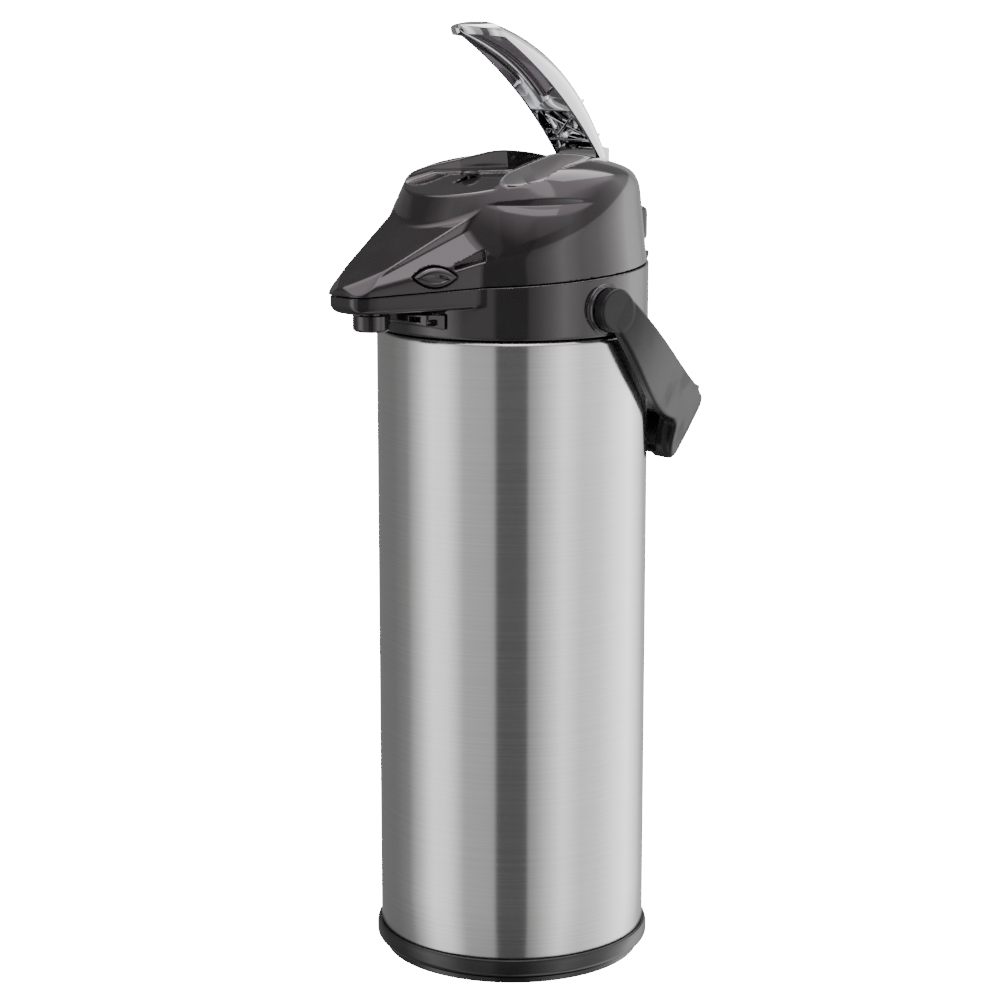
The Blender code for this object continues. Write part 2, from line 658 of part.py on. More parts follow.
def make_pump(lid_axis):
    top = LEVER_HINGE[1] - 12.0 - GAP
    plunger = turned("plunger", [
        (0.0, top), (27.5, top), (28.6, top - 1.2), (28.6, top - 5.0), (26.6, top - 5.0),
        (26.6, top - 2.4), (0.0, top - 2.4)], INNER_PLASTIC, steps=32, at=(0.0, PUMP_Y),
        loop=False)
    hang(axis_empty("plunger_axis", (0.0, PUMP_Y, top), lid_axis), plunger)

    low, high = 360.6, top - 2.8
    folds = 5
    outer, inner, wall = 28.0, 22.5, 0.9
    outside, inside = [], []
    for i in range(2 * folds + 1):
        z = high - (high - low) * i / (2 * folds)
        r = inner if i % 2 == 0 else (outer if z < top - 8.0 else outer - 2.4)
        outside.append((r, z))
        inside.append((r - wall, z))
    bellows = turned("bellows", outside + inside[::-1], RUBBER, steps=24, at=(0.0, PUMP_Y))

    turns, radius, wire = 5, 12.0, 0.9
    count = turns * 8
    rise = (high - low - 4.0 * wire) / count
    route = [(radius * cos(2 * pi * i / 8), PUMP_Y + radius * sin(2 * pi * i / 8),
              low + 2.0 * wire + rise * i) for i in range(count + 1)]
    curve = bpy.data.curves.new("return_spring", "CURVE")
    curve.dimensions = "3D"
    curve.bevel_depth = wire * MM
    curve.bevel_resolution = 1
    curve.use_fill_caps = True
    curve.materials.append(POLISHED)
    line = curve.splines.new("POLY")
    line.points.add(count)
    for point, place in zip(line.points, route):
        point.co = (*(Vector(place) * MM), 1.0)
    spring = bpy.data.objects.new("return_spring", curve)
    PARTS.objects.link(spring)
    hang(lid_axis, bellows, spring)


# ---- bail -------------------------------------------------------------------
ARM_STATIONS = [              # lower (y, z), upper (y, z), inner and outer |x|
    ((-1.2, 350.0), (5.5, 368.5), 74.8, 81.0),
    ((8.0, 339.0), (16.0, 359.6), 74.8, 80.8),
    ((22.0, 321.0), (30.0, 347.0), 71.6, 78.6),
    ((45.7, 301.5), (60.0, 326.0), 60.2, 68.0),
    ((68.0, 292.3), (95.6, 305.4), 42.5, 50.5)]
GRIP_OUTLINE = [(95.6, 305.6), (101.0, 300.0), (89.0, 281.0), (76.5, 267.6)]


def make_handle():
    grip = [(x, y, z) for x in (-46.0, 46.0)
            for y, z in GRIP_OUTLINE + [(73.8, 269.5), (73.8, 286.0), (80.0, 298.0)]]
    handle = hull("handle", grip, BLACK_SATIN)
    for side in (1, -1):
        for i, (near, far) in enumerate(zip(ARM_STATIONS, ARM_STATIONS[1:])):
            corners = [(side * x, *point) for low, high, inside, outside in (near, far)
                       for point in (low, high) for x in (inside, outside)]
            join(handle, hull(f"arm_{side}_{i}", corners, group=CUTTERS))
        corner = [(side * x, y, z) for x in (42.5, 50.5)
                  for y, z in GRIP_OUTLINE + [(67.0, 272.0), (68.0, 292.3)]]
        join(handle, hull(f"corner_{side}", corner, group=CUTTERS))
        boss = rod(f"boss_{side}", (side * 74.5, 0, HANDLE_PIVOT_Z),
                   (side * 81.4, 0, HANDLE_PIVOT_Z), 11.5, sides=32, group=CUTTERS)
        join(handle, boss)
    for side, name in ((1, "right"), (-1, "left")):
        cut(handle, rod(f"boss_hole_{side}", (side * 70, 0, HANDLE_PIVOT_Z),
                        (side * 90, 0, HANDLE_PIVOT_Z), 4.3, sides=22, group=CUTTERS))
        rod(f"handle_pin_{name}", (side * 60, 0, HANDLE_PIVOT_Z),
            (side * 80.4, 0, HANDLE_PIVOT_Z), 4.0, POLISHED)
    hang(axis_empty("handle_axis", HANDLE_AXIS), handle)


make_vessel()
make_foot()
make_collar()
make_spout()
LID = make_lid()
make_knob(LID)
make_buttons(LID)
make_lever(LID)
make_pump(LID)
make_handle()
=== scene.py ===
"""Looks of the thermal coffee airpot: steel body, moulded black head, chrome lever and bail.

Lengths are in millimetres in the tables below and become metres when a mesh is made.
The head, collar and bail are moulded shapes: a field that is negative inside the
plastic is sampled on a grid and its zero surface becomes the mesh.
"""

from math import cos, pi, radians, sin, sqrt

import bmesh
import bpy
import numpy as np
from mathutils import Matrix, Vector


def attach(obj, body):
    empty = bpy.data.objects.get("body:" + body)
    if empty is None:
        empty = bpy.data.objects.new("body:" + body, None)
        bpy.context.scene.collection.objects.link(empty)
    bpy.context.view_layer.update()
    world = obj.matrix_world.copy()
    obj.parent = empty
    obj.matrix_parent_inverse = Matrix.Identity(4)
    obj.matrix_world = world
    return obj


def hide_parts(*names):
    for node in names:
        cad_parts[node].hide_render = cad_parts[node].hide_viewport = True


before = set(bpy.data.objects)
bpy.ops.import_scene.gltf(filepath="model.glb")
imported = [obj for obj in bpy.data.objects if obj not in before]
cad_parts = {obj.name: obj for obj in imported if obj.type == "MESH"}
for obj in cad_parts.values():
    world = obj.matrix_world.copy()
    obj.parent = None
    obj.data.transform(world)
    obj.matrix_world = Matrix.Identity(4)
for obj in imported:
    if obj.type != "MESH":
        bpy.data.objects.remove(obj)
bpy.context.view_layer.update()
MM = 0.001


# ---- camera -----------------------------------------------------------------
CAMERA_PLACE = (0.9995, -0.9000, 0.505)
CAMERA_AIM = (-0.0044, -0.0049, 0.2488)
LENS_MM, SENSOR_MM = 91.0, 36.0

camera_data = bpy.data.cameras.new("camera")
camera_data.lens = LENS_MM
camera_data.sensor_width = SENSOR_MM
camera = bpy.data.objects.new("camera", camera_data)
bpy.context.scene.collection.objects.link(camera)
camera.location = CAMERA_PLACE
sight = Vector(CAMERA_AIM) - Vector(CAMERA_PLACE)
camera.rotation_euler = sight.to_track_quat("-Z", "Y").to_euler()
bpy.context.scene.camera = camera


# ---- shader groups ----------------------------------------------------------
class Nodes:
    """Short way to place and join shader or geometry nodes."""

    def __init__(self, tree):
        self.tree = tree

    def add(self, kind, values=None, **settings):
        node = self.tree.nodes.new(kind)
        for key, value in settings.items():
            setattr(node, key, value)
        for key, value in (values or {}).items():
            if isinstance(value, bpy.types.NodeSocket):
                self.tree.links.new(value, node.inputs[key])
            else:
                node.inputs[key].default_value = value
        return node

    def math(self, operation, *values):
        return self.add("ShaderNodeMath", dict(enumerate(values)), operation=operation).outputs[0]

    def map_range(self, value, low, high, to_low=0.0, to_high=1.0, smooth=True):
        return self.add("ShaderNodeMapRange", {
            "Value": value, "From Min": low, "From Max": high, "To Min": to_low,
            "To Max": to_high}, interpolation_type="SMOOTHSTEP" if smooth else "LINEAR").outputs[0]

    def noise(self, vector, scale, detail=2.0, roughness=0.5):
        return self.add("ShaderNodeTexNoise", {
            "Vector": vector, "Scale": scale, "Detail": detail,
            "Roughness": roughness}).outputs["Fac"]

    def mix(self, factor, a, b):
        node = self.add("ShaderNodeMix", {0: factor}, data_type="RGBA")
        for socket, value in ((node.inputs[6], a), (node.inputs[7], b)):
            if isinstance(value, bpy.types.NodeSocket):
                self.tree.links.new(value, socket)
            else:
                socket.default_value = (*value, 1.0)
        return node.outputs[2]


def shader_group(name, inputs, outputs, build):
    tree = bpy.data.node_groups.new(name, "ShaderNodeTree")
    for socket, value in inputs:
        kind = "NodeSocketVector" if value is None else "NodeSocketFloat"
        made = tree.interface.new_socket(socket, in_out="INPUT", socket_type=kind)
        if value is not None:
            made.default_value = value
    for socket in outputs:
        tree.interface.new_socket(socket, in_out="OUTPUT", socket_type="NodeSocketFloat")
    nodes = Nodes(tree)
    given = nodes.add("NodeGroupInput").outputs
    result = nodes.add("NodeGroupOutput")
    for socket, value in build(nodes, given).items():
        tree.links.new(value, result.inputs[socket])
    return tree


def build_brushing(n, given):
    """Long fine scratches round the Z axis, with slow changes of their depth."""
    parts = n.add("ShaderNodeSeparateXYZ", {0: given["Place"]}).outputs

    def stretched(along, across):
        return n.add("ShaderNodeCombineXYZ", {
            "X": n.math("MULTIPLY", parts["X"], along),
            "Y": n.math("MULTIPLY", parts["Y"], along),
            "Z": n.math("MULTIPLY", parts["Z"], across)}).outputs[0]

    along = given["Along"]
    fine = n.noise(stretched(along, given["Fineness"]), 1.0, 3.0, 0.65)
    coarse = n.noise(stretched(n.math("MULTIPLY", along, 0.4),
                               n.math("MULTIPLY", given["Fineness"], 0.22)), 1.0, 2.0, 0.5)
    height = n.math("ADD", n.math("MULTIPLY", fine, 0.7), n.math("MULTIPLY", coarse, 0.3))
    streak = n.map_range(coarse, 0.3, 0.7)
    return {"Height": height, "Streak": streak}


def build_moulded_skin(n, given):
    """Slight orange peel and fine texture of an injection-moulded surface."""
    slow = n.noise(given["Place"], given["Ripple"], 1.0, 0.4)
    fine = n.noise(given["Place"], given["Texture"], 2.0, 0.6)
    height = n.math("ADD", n.math("MULTIPLY", slow, 0.6), n.math("MULTIPLY", fine, 0.4))
    return {"Height": height, "Patches": n.map_range(slow, 0.35, 0.65)}


def build_handling(n, given):
    """Smears left by fingers, and dust on faces that look upwards."""
    smear = n.noise(given["Place"], given["Smear size"], 4.0, 0.62)
    smear = n.map_range(smear, 0.52, 0.72)
    up = n.add("ShaderNodeSeparateXYZ", {0: n.add("ShaderNodeNewGeometry").outputs["Normal"]})
    facing = n.map_range(up.outputs["Z"], 0.3, 0.95)
    specks = n.noise(given["Place"], given["Dust size"], 3.0, 0.7)
    dust = n.math("MULTIPLY", n.map_range(specks, 0.6, 0.78), facing)
    return {"Smears": smear, "Dust": dust}


def build_scuffs(n, given):
    """Thin short scratches in two crossing directions."""
    parts = n.add("ShaderNodeSeparateXYZ", {0: given["Place"]}).outputs
    masks = []
    for x, y, z in ((0.9, 0.35, 7.0), (5.5, 0.6, 1.1)):
        turned = n.add("ShaderNodeCombineXYZ", {
            "X": n.math("MULTIPLY", parts["X"], x), "Y": n.math("MULTIPLY", parts["Y"], y),
            "Z": n.math("MULTIPLY", parts["Z"], z)}).outputs[0]
        masks.append(n.map_range(n.noise(turned, given["Scuff size"], 5.0, 0.7), 0.66, 0.74))
    return {"Scuffs": n.math("MAXIMUM", *masks)}


BRUSHING = shader_group(
    "brushing", [("Place", None), ("Along", 14.0), ("Fineness", 5200.0)],
    ["Height", "Streak"], build_brushing)
MOULDED_SKIN = shader_group(
    "moulded_skin", [("Place", None), ("Ripple", 60.0), ("Texture", 1400.0)],
    ["Height", "Patches"], build_moulded_skin)
HANDLING = shader_group(
    "handling", [("Place", None), ("Smear size", 34.0), ("Dust size", 900.0)],
    ["Smears", "Dust"], build_handling)
SCUFFS = shader_group(
    "scuffs", [("Place", None), ("Scuff size", 110.0)], ["Scuffs"], build_scuffs)


# ---- materials --------------------------------------------------------------
def finish_of(name, build, **constants):
    """A Principled material; constants go on its own sockets, build links the rest."""
    material = bpy.data.materials.new(name)
    material.use_nodes = True
    nodes = Nodes(material.node_tree)
    shader = material.node_tree.nodes["Principled BSDF"]
    for key, value in constants.items():
        shader.inputs[key.replace("_", " ")].default_value = value
    place = nodes.add("ShaderNodeTexCoord").outputs["Object"]
    links = build(nodes, place)
    for key, value in links.items():
        material.node_tree.links.new(value, shader.inputs[key])
    return material


def effect(nodes, tree, place, **values):
    named = {key.replace("_", " "): value for key, value in values.items()}
    return nodes.add("ShaderNodeGroup", {"Place": place, **named}, node_tree=tree).outputs


def bump(nodes, height, depth_mm):
    return nodes.add("ShaderNodeBump", {
        "Height": height, "Distance": depth_mm * MM, "Strength": 1.0}).outputs["Normal"]


ROUGH_SPREAD = 0.035          # how far the scratches move the roughness either way
DUST_TONE = (0.16, 0.15, 0.14)


def brushed(light, dark, rough, depth, along=14.0, fineness=5200.0):
    """Finish of brushed steel; depth is the scratches' depth in millimetres."""
    def build(n, place):
        grain = effect(n, BRUSHING, place, Along=along, Fineness=fineness)
        hand = effect(n, HANDLING, place, Smear_size=26.0, Dust_size=700.0)
        tone = n.mix(grain["Streak"], dark, light)
        tone = n.mix(n.math("MULTIPLY", hand["Smears"], 0.06), tone, dark)
        scratched = n.map_range(grain["Height"], 0.25, 0.75, rough - ROUGH_SPREAD,
                                rough + ROUGH_SPREAD)
        roughness = n.math("ADD", scratched, n.math("MULTIPLY", hand["Smears"], 0.012))
        return {"Base Color": tone, "Roughness": roughness,
                "Normal": bump(n, grain["Height"], depth)}
    return build


def moulded_black(tone, sheen_tone, rough, depth, ripple=60.0, texture=1400.0, smears=0.12,
                  dust=0.10):
    """Finish of moulded plastic; smears and dust are the most that each may add."""
    def build(n, place):
        skin = effect(n, MOULDED_SKIN, place, Ripple=ripple, Texture=texture)
        hand = effect(n, HANDLING, place)
        scuffs = effect(n, SCUFFS, place)["Scuffs"]
        color = n.mix(n.math("MULTIPLY", skin["Patches"], 0.5), tone, sheen_tone)
        color = n.mix(n.math("MULTIPLY", hand["Dust"], dust), color, DUST_TONE)
        roughness = n.math("ADD", n.map_range(skin["Patches"], 0.0, 1.0, rough, rough + 0.03),
                           n.math("MULTIPLY", hand["Smears"], smears))
        roughness = n.math("ADD", roughness, n.math("MULTIPLY", scuffs, 0.06))
        return {"Base Color": color, "Roughness": roughness,
                "Normal": bump(n, skin["Height"], depth)}
    return build


def plated(n, place):
    skin = effect(n, MOULDED_SKIN, place, Ripple=45.0, Texture=1200.0)
    hand = effect(n, HANDLING, place, Smear_size=60.0)
    scuffs = effect(n, SCUFFS, place, Scuff_size=160.0)["Scuffs"]
    color = n.mix(n.math("MULTIPLY", hand["Smears"], 0.3), (0.80, 0.80, 0.82), (0.70, 0.69, 0.69))
    roughness = n.math("ADD", n.math("MULTIPLY", hand["Smears"], 0.05),
                       n.math("MULTIPLY", scuffs, 0.05))
    roughness = n.math("ADD", roughness, 0.035)
    return {"Base Color": color, "Roughness": roughness, "Normal": bump(n, skin["Height"], 0.012)}


STEEL = finish_of(
    "brushed_shell_steel",
    brushed((0.66, 0.655, 0.66), (0.62, 0.615, 0.62), 0.185, 0.0012),
    Metallic=1.0, Anisotropic=0.93, Anisotropic_Rotation=0.25)
INNER_STEEL = finish_of(
    "plain_steel",
    brushed((0.66, 0.66, 0.65), (0.58, 0.58, 0.57), 0.24, 0.004, fineness=2600.0),
    Metallic=1.0)
CHROME = finish_of("chrome_plate", plated, Metallic=1.0)
GLOSS = finish_of(
    "gloss_black_head",
    moulded_black((0.020, 0.0185, 0.0195), (0.024, 0.022, 0.023), 0.05, 0.0006, smears=0.035),
    Specular_IOR_Level=0.62, Specular_Tint=(1.0, 0.93, 0.975, 1.0),
    Coat_Weight=0.2, Coat_Roughness=0.03)
SATIN = finish_of(
    "satin_black_bail",
    moulded_black((0.014, 0.014, 0.0155), (0.020, 0.020, 0.0215), 0.32, 0.0045, texture=2200.0),
    Specular_IOR_Level=0.24)
FOOT_BLACK = finish_of(
    "foot_black",
    moulded_black((0.013, 0.013, 0.014), (0.019, 0.019, 0.020), 0.16, 0.003, texture=1800.0),
    Specular_IOR_Level=0.5)
INNER_GREY = finish_of(
    "grey_inner_plastic",
    moulded_black((0.095, 0.095, 0.097), (0.13, 0.13, 0.13), 0.42, 0.02))
SILICONE = finish_of(
    "grey_silicone",
    moulded_black((0.42, 0.42, 0.41), (0.52, 0.52, 0.50), 0.55, 0.03, smears=0.05),
    Subsurface_Weight=0.15)


def radial_grain(material):
    """Turns the grain's direction round the Z axis."""
    tangent = material.node_tree.nodes.new("ShaderNodeTangent")
    tangent.direction_type = "RADIAL"
    tangent.axis = "Z"
    shader = material.node_tree.nodes["Principled BSDF"]
    material.node_tree.links.new(tangent.outputs[0], shader.inputs["Tangent"])


radial_grain(STEEL)


# ---- mesh helpers -----------------------------------------------------------
def place_piece(name, mesh, material, body, nodes):
    """Names the piece, gives it its finish and lets it ride on its body."""
    mesh.materials.clear()
    mesh.materials.append(material)
    obj = bpy.data.objects.new(name, mesh)
    bpy.context.scene.collection.objects.link(obj)
    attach(obj, body)
    if nodes:
        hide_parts(*nodes)


def plain_mesh(obj):
    """The object's mesh with its modifiers applied; the object itself is removed."""
    bpy.context.view_layer.update()
    evaluated = obj.evaluated_get(bpy.context.evaluated_depsgraph_get())
    mesh = bpy.data.meshes.new_from_object(evaluated)
    bpy.data.objects.remove(obj)
    return mesh


def mesh_of(name, bm, sharp=35.0):
    bmesh.ops.scale(bm, vec=(MM, MM, MM), verts=bm.verts)
    mesh = bpy.data.meshes.new(name)
    bm.to_mesh(mesh)
    bm.free()
    mesh.shade_smooth()
    mesh.set_sharp_from_angle(angle=radians(sharp))
    return mesh


def rounded(profile, radii, loop, bits=5):
    """The profile with its corners filleted, with one radius for each corner."""
    count = len(profile)
    made = []
    for i, (corner, r) in enumerate(zip(profile, radii)):
        if r <= 0 or (not loop and i in (0, count - 1)):
            made.append(tuple(corner))
            continue
        here = Vector(corner)
        before = Vector(profile[i - 1]) - here
        after = Vector(profile[(i + 1) % count]) - here
        reach = min(r, 0.45 * before.length, 0.45 * after.length)
        a, b = here + before.normalized() * reach, here + after.normalized() * reach
        for k in range(bits + 1):
            t = k / bits
            made.append(tuple(a * (1 - t) ** 2 + here * 2 * t * (1 - t) + b * t * t))
    return made


def lathe(name, profile, steps=160, at=(0.0, 0.0), loop=True):
    """A profile of (radius, z) turned about a vertical axis; points on the axis are shared."""
    bm = bmesh.new()
    columns = []
    for r, z in profile:
        if r < 1e-6:
            columns.append([bm.verts.new((at[0], at[1], z))] * steps)
            continue
        columns.append([bm.verts.new((at[0] + r * cos(2 * pi * k / steps),
                                      at[1] + r * sin(2 * pi * k / steps), z))
                        for k in range(steps)])
    pairs = list(zip(columns, columns[1:])) + ([(columns[-1], columns[0])] if loop else [])
    for a, b in pairs:
        for k in range(steps):
            j = (k + 1) % steps
            corners = list(dict.fromkeys((a[k], a[j], b[j], b[k])))
            if len(corners) > 2:
                bm.faces.new(corners)
    bmesh.ops.recalc_face_normals(bm, faces=bm.faces)
    return mesh_of(name, bm)


def turned_piece(name, profile, radii, steps, finish, body, nodes, slot, **where):
    """Places a lathe of the profile, with a fillet radius for each corner."""
    loop = where.get("loop", True)
    place_piece(name, lathe(name, rounded(profile, radii, loop), steps, **where), finish, body,
                nodes)


# ---- moulded shapes ---------------------------------------------------------
def both(a, b, fillet):
    """Inside where a and b are both inside, with a rounded edge."""
    h = np.maximum(fillet - np.abs(a - b), 0.0)
    return np.maximum(a, b) + h * h / (4.0 * fillet)


def either(a, b, fillet):
    return -both(-a, -b, fillet)


def without(a, b, fillet):
    return both(a, -b, fillet)


def hull_planes(points, half=True):
    """Outward planes (nx, ny, nz, d) of the smallest convex solid round the points."""
    bm = bmesh.new()
    for point in points:
        bm.verts.new(point)
    bmesh.ops.convex_hull(bm, input=bm.verts)
    bmesh.ops.recalc_face_normals(bm, faces=bm.faces)
    bm.normal_update()
    found = {}
    for face in bm.faces:
        n = face.normal
        if half and n.x < -0.01:
            continue
        key = tuple(round(v, 2) for v in n)
        found[key] = (n.x, n.y, n.z, n.dot(face.verts[0].co))
    bm.free()
    return list(found.values())


def solid_of(planes, fillet):
    """Field of the convex solid inside all the planes, with rounded edges."""
    def field(x, y, z):
        value = None
        for nx, ny, nz, d in planes:
            side = nx * x + ny * y + nz * z - d
            value = side if value is None else both(value, side, fillet)
        return value
    return field


def mirrored(points):
    return [(side * x, y, z) for side in (1, -1) for x, y, z in points]


def slope_of(field, points, reach=0.04):
    """Slope of the field at each point, from its values a little to each side."""
    x, y, z = points.T
    parts = []
    for axis in range(3):
        step = np.zeros(3)
        step[axis] = reach
        parts.append((field(x + step[0], y + step[1], z + step[2])
                      - field(x - step[0], y - step[1], z - step[2])) / (2 * reach))
    return np.stack(parts, axis=1)


def settle(field, points, limit):
    """Moves points onto the zero surface of the field."""
    for _ in range(4):
        slope = slope_of(field, points)
        value = field(*points.T)
        move = -value[:, None] * slope / np.maximum((slope ** 2).sum(1), 1e-4)[:, None]
        length = np.sqrt((move ** 2).sum(1))[:, None]
        points = points + move * np.minimum(1.0, limit / np.maximum(length, 1e-9))
    return points


CORNERS = np.array([(i, j, k) for i in (0, 1) for j in (0, 1) for k in (0, 1)])
EDGES = [(a, b) for a in range(8) for b in range(a + 1, 8)
         if abs(CORNERS[a] - CORNERS[b]).sum() == 1]


def grid_skin(field, low, high, step):
    """Points and four-sided faces on the zero surface of a field that is even in x."""
    half = int(np.ceil(high[0] / step)) + 1
    right = step * (np.arange(half) + 0.5)
    ys = np.arange(low[1], high[1] + step, step)
    zs = np.arange(low[2], high[2] + step, step)
    value = field(*np.meshgrid(right, ys, zs, indexing="ij"))
    value = np.concatenate([value[::-1], value])
    xs = np.concatenate([-right[::-1], right])
    inside = value < 0
    shape = np.array(value.shape) - 1
    count = sum(inside[i:i + shape[0], j:j + shape[1], k:k + shape[2]].astype(np.int8)
                for i, j, k in CORNERS)
    crossed = (count > 0) & (count < 8)
    number = np.full(crossed.shape, -1)
    number[crossed] = np.arange(crossed.sum())
    cells = np.argwhere(crossed)
    at = [value[tuple((cells + c).T)] for c in CORNERS]
    total, hits = np.zeros((len(cells), 3)), np.zeros(len(cells))
    for a, b in EDGES:
        cross = (at[a] < 0) != (at[b] < 0)
        share = np.where(cross, at[a] / np.where(cross, at[a] - at[b], 1.0), 0.0)
        total += cross[:, None] * (CORNERS[a] + share[:, None] * (CORNERS[b] - CORNERS[a]))
        hits += cross
    points = np.array([xs[0], ys[0], zs[0]]) + step * (cells + total / hits[:, None])
    faces = []
    for axis in range(3):
        u, v = (axis + 1) % 3, (axis + 2) % 3
        ahead = [slice(None)] * 3
        ahead[axis] = slice(1, None)
        behind = [slice(None)] * 3
        behind[axis] = slice(None, -1)
        a, b = inside[tuple(behind)], inside[tuple(ahead)]
        spot = np.argwhere(a != b)
        spot = spot[(spot[:, u] > 0) & (spot[:, v] > 0)
                    & (spot[:, u] < shape[u]) & (spot[:, v] < shape[v])]
        du, dv = np.eye(3, dtype=int)[u], np.eye(3, dtype=int)[v]
        ring = np.stack([number[tuple((spot - s).T)] for s in (du + dv, dv, 0 * du, du)], axis=1)
        out = a[tuple(spot.T)]
        ring[~out] = ring[~out][:, ::-1]
        faces.append(ring)
    return points, np.concatenate(faces)


def moulded(name, field, low, high, step, keep=1.0):
    """A smooth mesh on the zero surface of a field, with normals taken from the field."""

    def even(x, y, z):
        return field(np.abs(x), y, z)

    points, faces = grid_skin(field, low, high, step)
    points = settle(even, points, 0.5 * step)
    mesh = bpy.data.meshes.new(name)
    mesh.from_pydata(points * MM, [], faces.tolist())
    mesh.validate()
    if keep < 1.0:
        holder = bpy.data.objects.new(name, mesh)
        bpy.context.scene.collection.objects.link(holder)
        thin = holder.modifiers.new("thin", "DECIMATE")
        thin.ratio = keep
        mesh = plain_mesh(holder)
    count = len(mesh.vertices)
    flat = np.zeros(count * 3, np.float32)
    mesh.vertices.foreach_get("co", flat)
    points = flat.reshape(-1, 3).astype(float) / MM
    if keep < 1.0:
        points = settle(even, points, 0.25 * step)
        mesh.vertices.foreach_set("co", (points * MM).astype(np.float32).ravel())
    slope = slope_of(even, points)
    slope /= np.maximum(np.sqrt((slope ** 2).sum(1)), 1e-9)[:, None]
    mesh.shade_smooth()
    mesh.normals_split_custom_set_from_vertices([tuple(n) for n in slope])
    mesh.update()
    return mesh


def moulded_piece(name, field, low, high, step, keep, finish, body, nodes):
    place_piece(name, moulded(name, field, low, high, step, keep), finish, body, nodes)


# ---- sizes shared with the CAD part ----------------------------------------
BODY_R, WALL = 72.5, 2.6
SHELL_BOTTOM, SHELL_TOP, NECK_R = 14.3, 343.7, 33.0
BORE_R = 2.2                                   # holes for the hinge pins
FOOT_R, TURNTABLE_R = 74.8, 70.0
BEAK_ROOT, BEAK_TIP = (44.0, -56.5), (13.0, -116.0)
DECK_REAR, DECK_TIP = (30.0, -60.0, 404.0), (11.5, -115.5, 371.8)
LID_HINGE, LEVER_HINGE, BAIL_Z = (78.0, 379.0), (52.0, 424.0), 358.5
NOZZLE_Y = -96.5
FLOOR_REAR_Z, FLOOR_LIP, FLOOR_BREAK_Y = 424.3, (-56.5, 416.6), -29.0
BUTTON = (31.3, -80.4, 377.2)
FLOOR_SLOPE = (FLOOR_REAR_Z - FLOOR_LIP[1]) / (FLOOR_BREAK_Y - FLOOR_LIP[0])


def seam(y):
    return 375.2 + 0.068 * y


def floor_z(y):
    return np.minimum(FLOOR_REAR_Z, FLOOR_REAR_Z + FLOOR_SLOPE * (y - FLOOR_BREAK_Y))


def beak_out():
    run = Vector((BEAK_TIP[0] - BEAK_ROOT[0], BEAK_TIP[1] - BEAK_ROOT[1])).normalized()
    return -run.y, run.x


# ---- head: cover ------------------------------------------------------------
def dome_field(x, y, z):
    """Round body of the cover: a wall, a rising crease and a shallow top."""
    rho = np.hypot(x, y)
    angle = np.degrees(np.arctan2(x, -y))
    turn = np.clip((angle - 38.0) / 85.0, 0.0, 1.0)
    fade = np.clip((angle - 45.0) / 80.0, 0.0, 1.0)
    front = 1.0 - fade * fade * (3.0 - 2.0 * fade)

    def mix(a, b):
        return a * front + b * (1.0 - front)

    rings = [(71.8 - 4.6 * turn, 384.0 + 36.0 * turn),
             (mix(64.5, 65.6), mix(408.0, 425.2)), (mix(57.8, 60.0), mix(421.5, 429.6)),
             (mix(54.5, 50.0), mix(428.0, 433.2)), (mix(28.0, 25.0), mix(433.0, 437.2)),
             (4.0, 437.4)]
    foot = seam(-72.0 * np.cos(np.radians(angle))) - 6.0
    crease_r, crease_z = rings[0]
    value = rho - 72.0 + (72.0 - crease_r) * (z - foot) / (crease_z - foot)
    for (ra, za), (rb, zb), fillet in zip(rings, rings[1:], (1.2, 5.0, 3.0, 7.0, 5.0)):
        length = np.hypot(zb - za, ra - rb)
        side = ((rho - ra) * (zb - za) + (z - za) * (ra - rb)) / length
        value = both(value, side, fillet)
    return value


def beak_field(x, y, z):
    """Upper half of the beak: sloping deck, low step beside it and a side facet."""
    deck_slope = (DECK_REAR[2] - DECK_TIP[2]) / (DECK_REAR[1] - DECK_TIP[1])
    deck = (z - DECK_REAR[2] - deck_slope * (y - DECK_REAR[1])) / sqrt(1 + deck_slope ** 2)
    spread = (DECK_REAR[0] - DECK_TIP[0]) / (DECK_REAR[1] - DECK_TIP[1])
    ridge = (x - DECK_TIP[0] - spread * (y - DECK_TIP[1])) / sqrt(1 + spread ** 2)
    a = Vector(DECK_TIP)
    normal = (Vector((DECK_REAR[0], DECK_REAR[1], DECK_REAR[2] - 5.4)) - a).cross(
        Vector((*BEAK_ROOT, 385.7)) - a).normalized()
    normal *= -1.0 if normal.z < 0 else 1.0
    facet = normal.x * (x - a.x) + normal.y * (y - a.y) + normal.z * (z - a.z)
    top = both(deck, either(facet, ridge, 0.7), 1.0)
    ox, oy = beak_out()
    side = (x - BEAK_ROOT[0]) * ox + (y - BEAK_ROOT[1]) * oy
    tip = BEAK_TIP[1] - y
    walls = both(both(side, tip, 6.0), y + 38.0, 2.0)
    return both(top, walls, 1.8)


RIDGE = ((-50.0, 38.4), (-14.5, 28.6), (14.0, 22.4), (44.0, 21.6))      # y, x
SHOULDER = ((-50.0, 39.0), (-24.0, 50.0), (12.0, 42.5), (44.0, 24.0))


FLANK_SAG = 8.5


def flank_cut(x, y, z):
    """The hollow between the trough's ridge and the shoulder, one on each side."""
    near = np.interp(y, *zip(*RIDGE))
    far = np.interp(y, *zip(*SHOULDER))
    across = (2.0 * x - near - far) / (far - near)
    near_z = np.interp(y, (-50.0, -41.6, -14.5, 14.0, 44.0), (423.5, 427.0, 432.0, 437.2, 438.0))
    far_z = np.interp(y, (-50.0, -24.0, 12.0, 44.0), (422.5, 424.2, 432.4, 437.0))
    chord = near_z + (far_z - near_z) * (0.5 + 0.5 * across)
    length = np.clip(1.0 - ((y + 4.0) / 47.0) ** 2, 0.0, 1.0)
    sag = FLANK_SAG * length * np.clip(1.0 - across ** 2, 0.0, 1.0)
    steep = 4.0 * FLANK_SAG * length * across / (far - near)
    depth = (chord - sag - z) / np.sqrt(1.0 + steep ** 2)
    return np.maximum(depth, (np.abs(across) - 1.0) * 10.0)


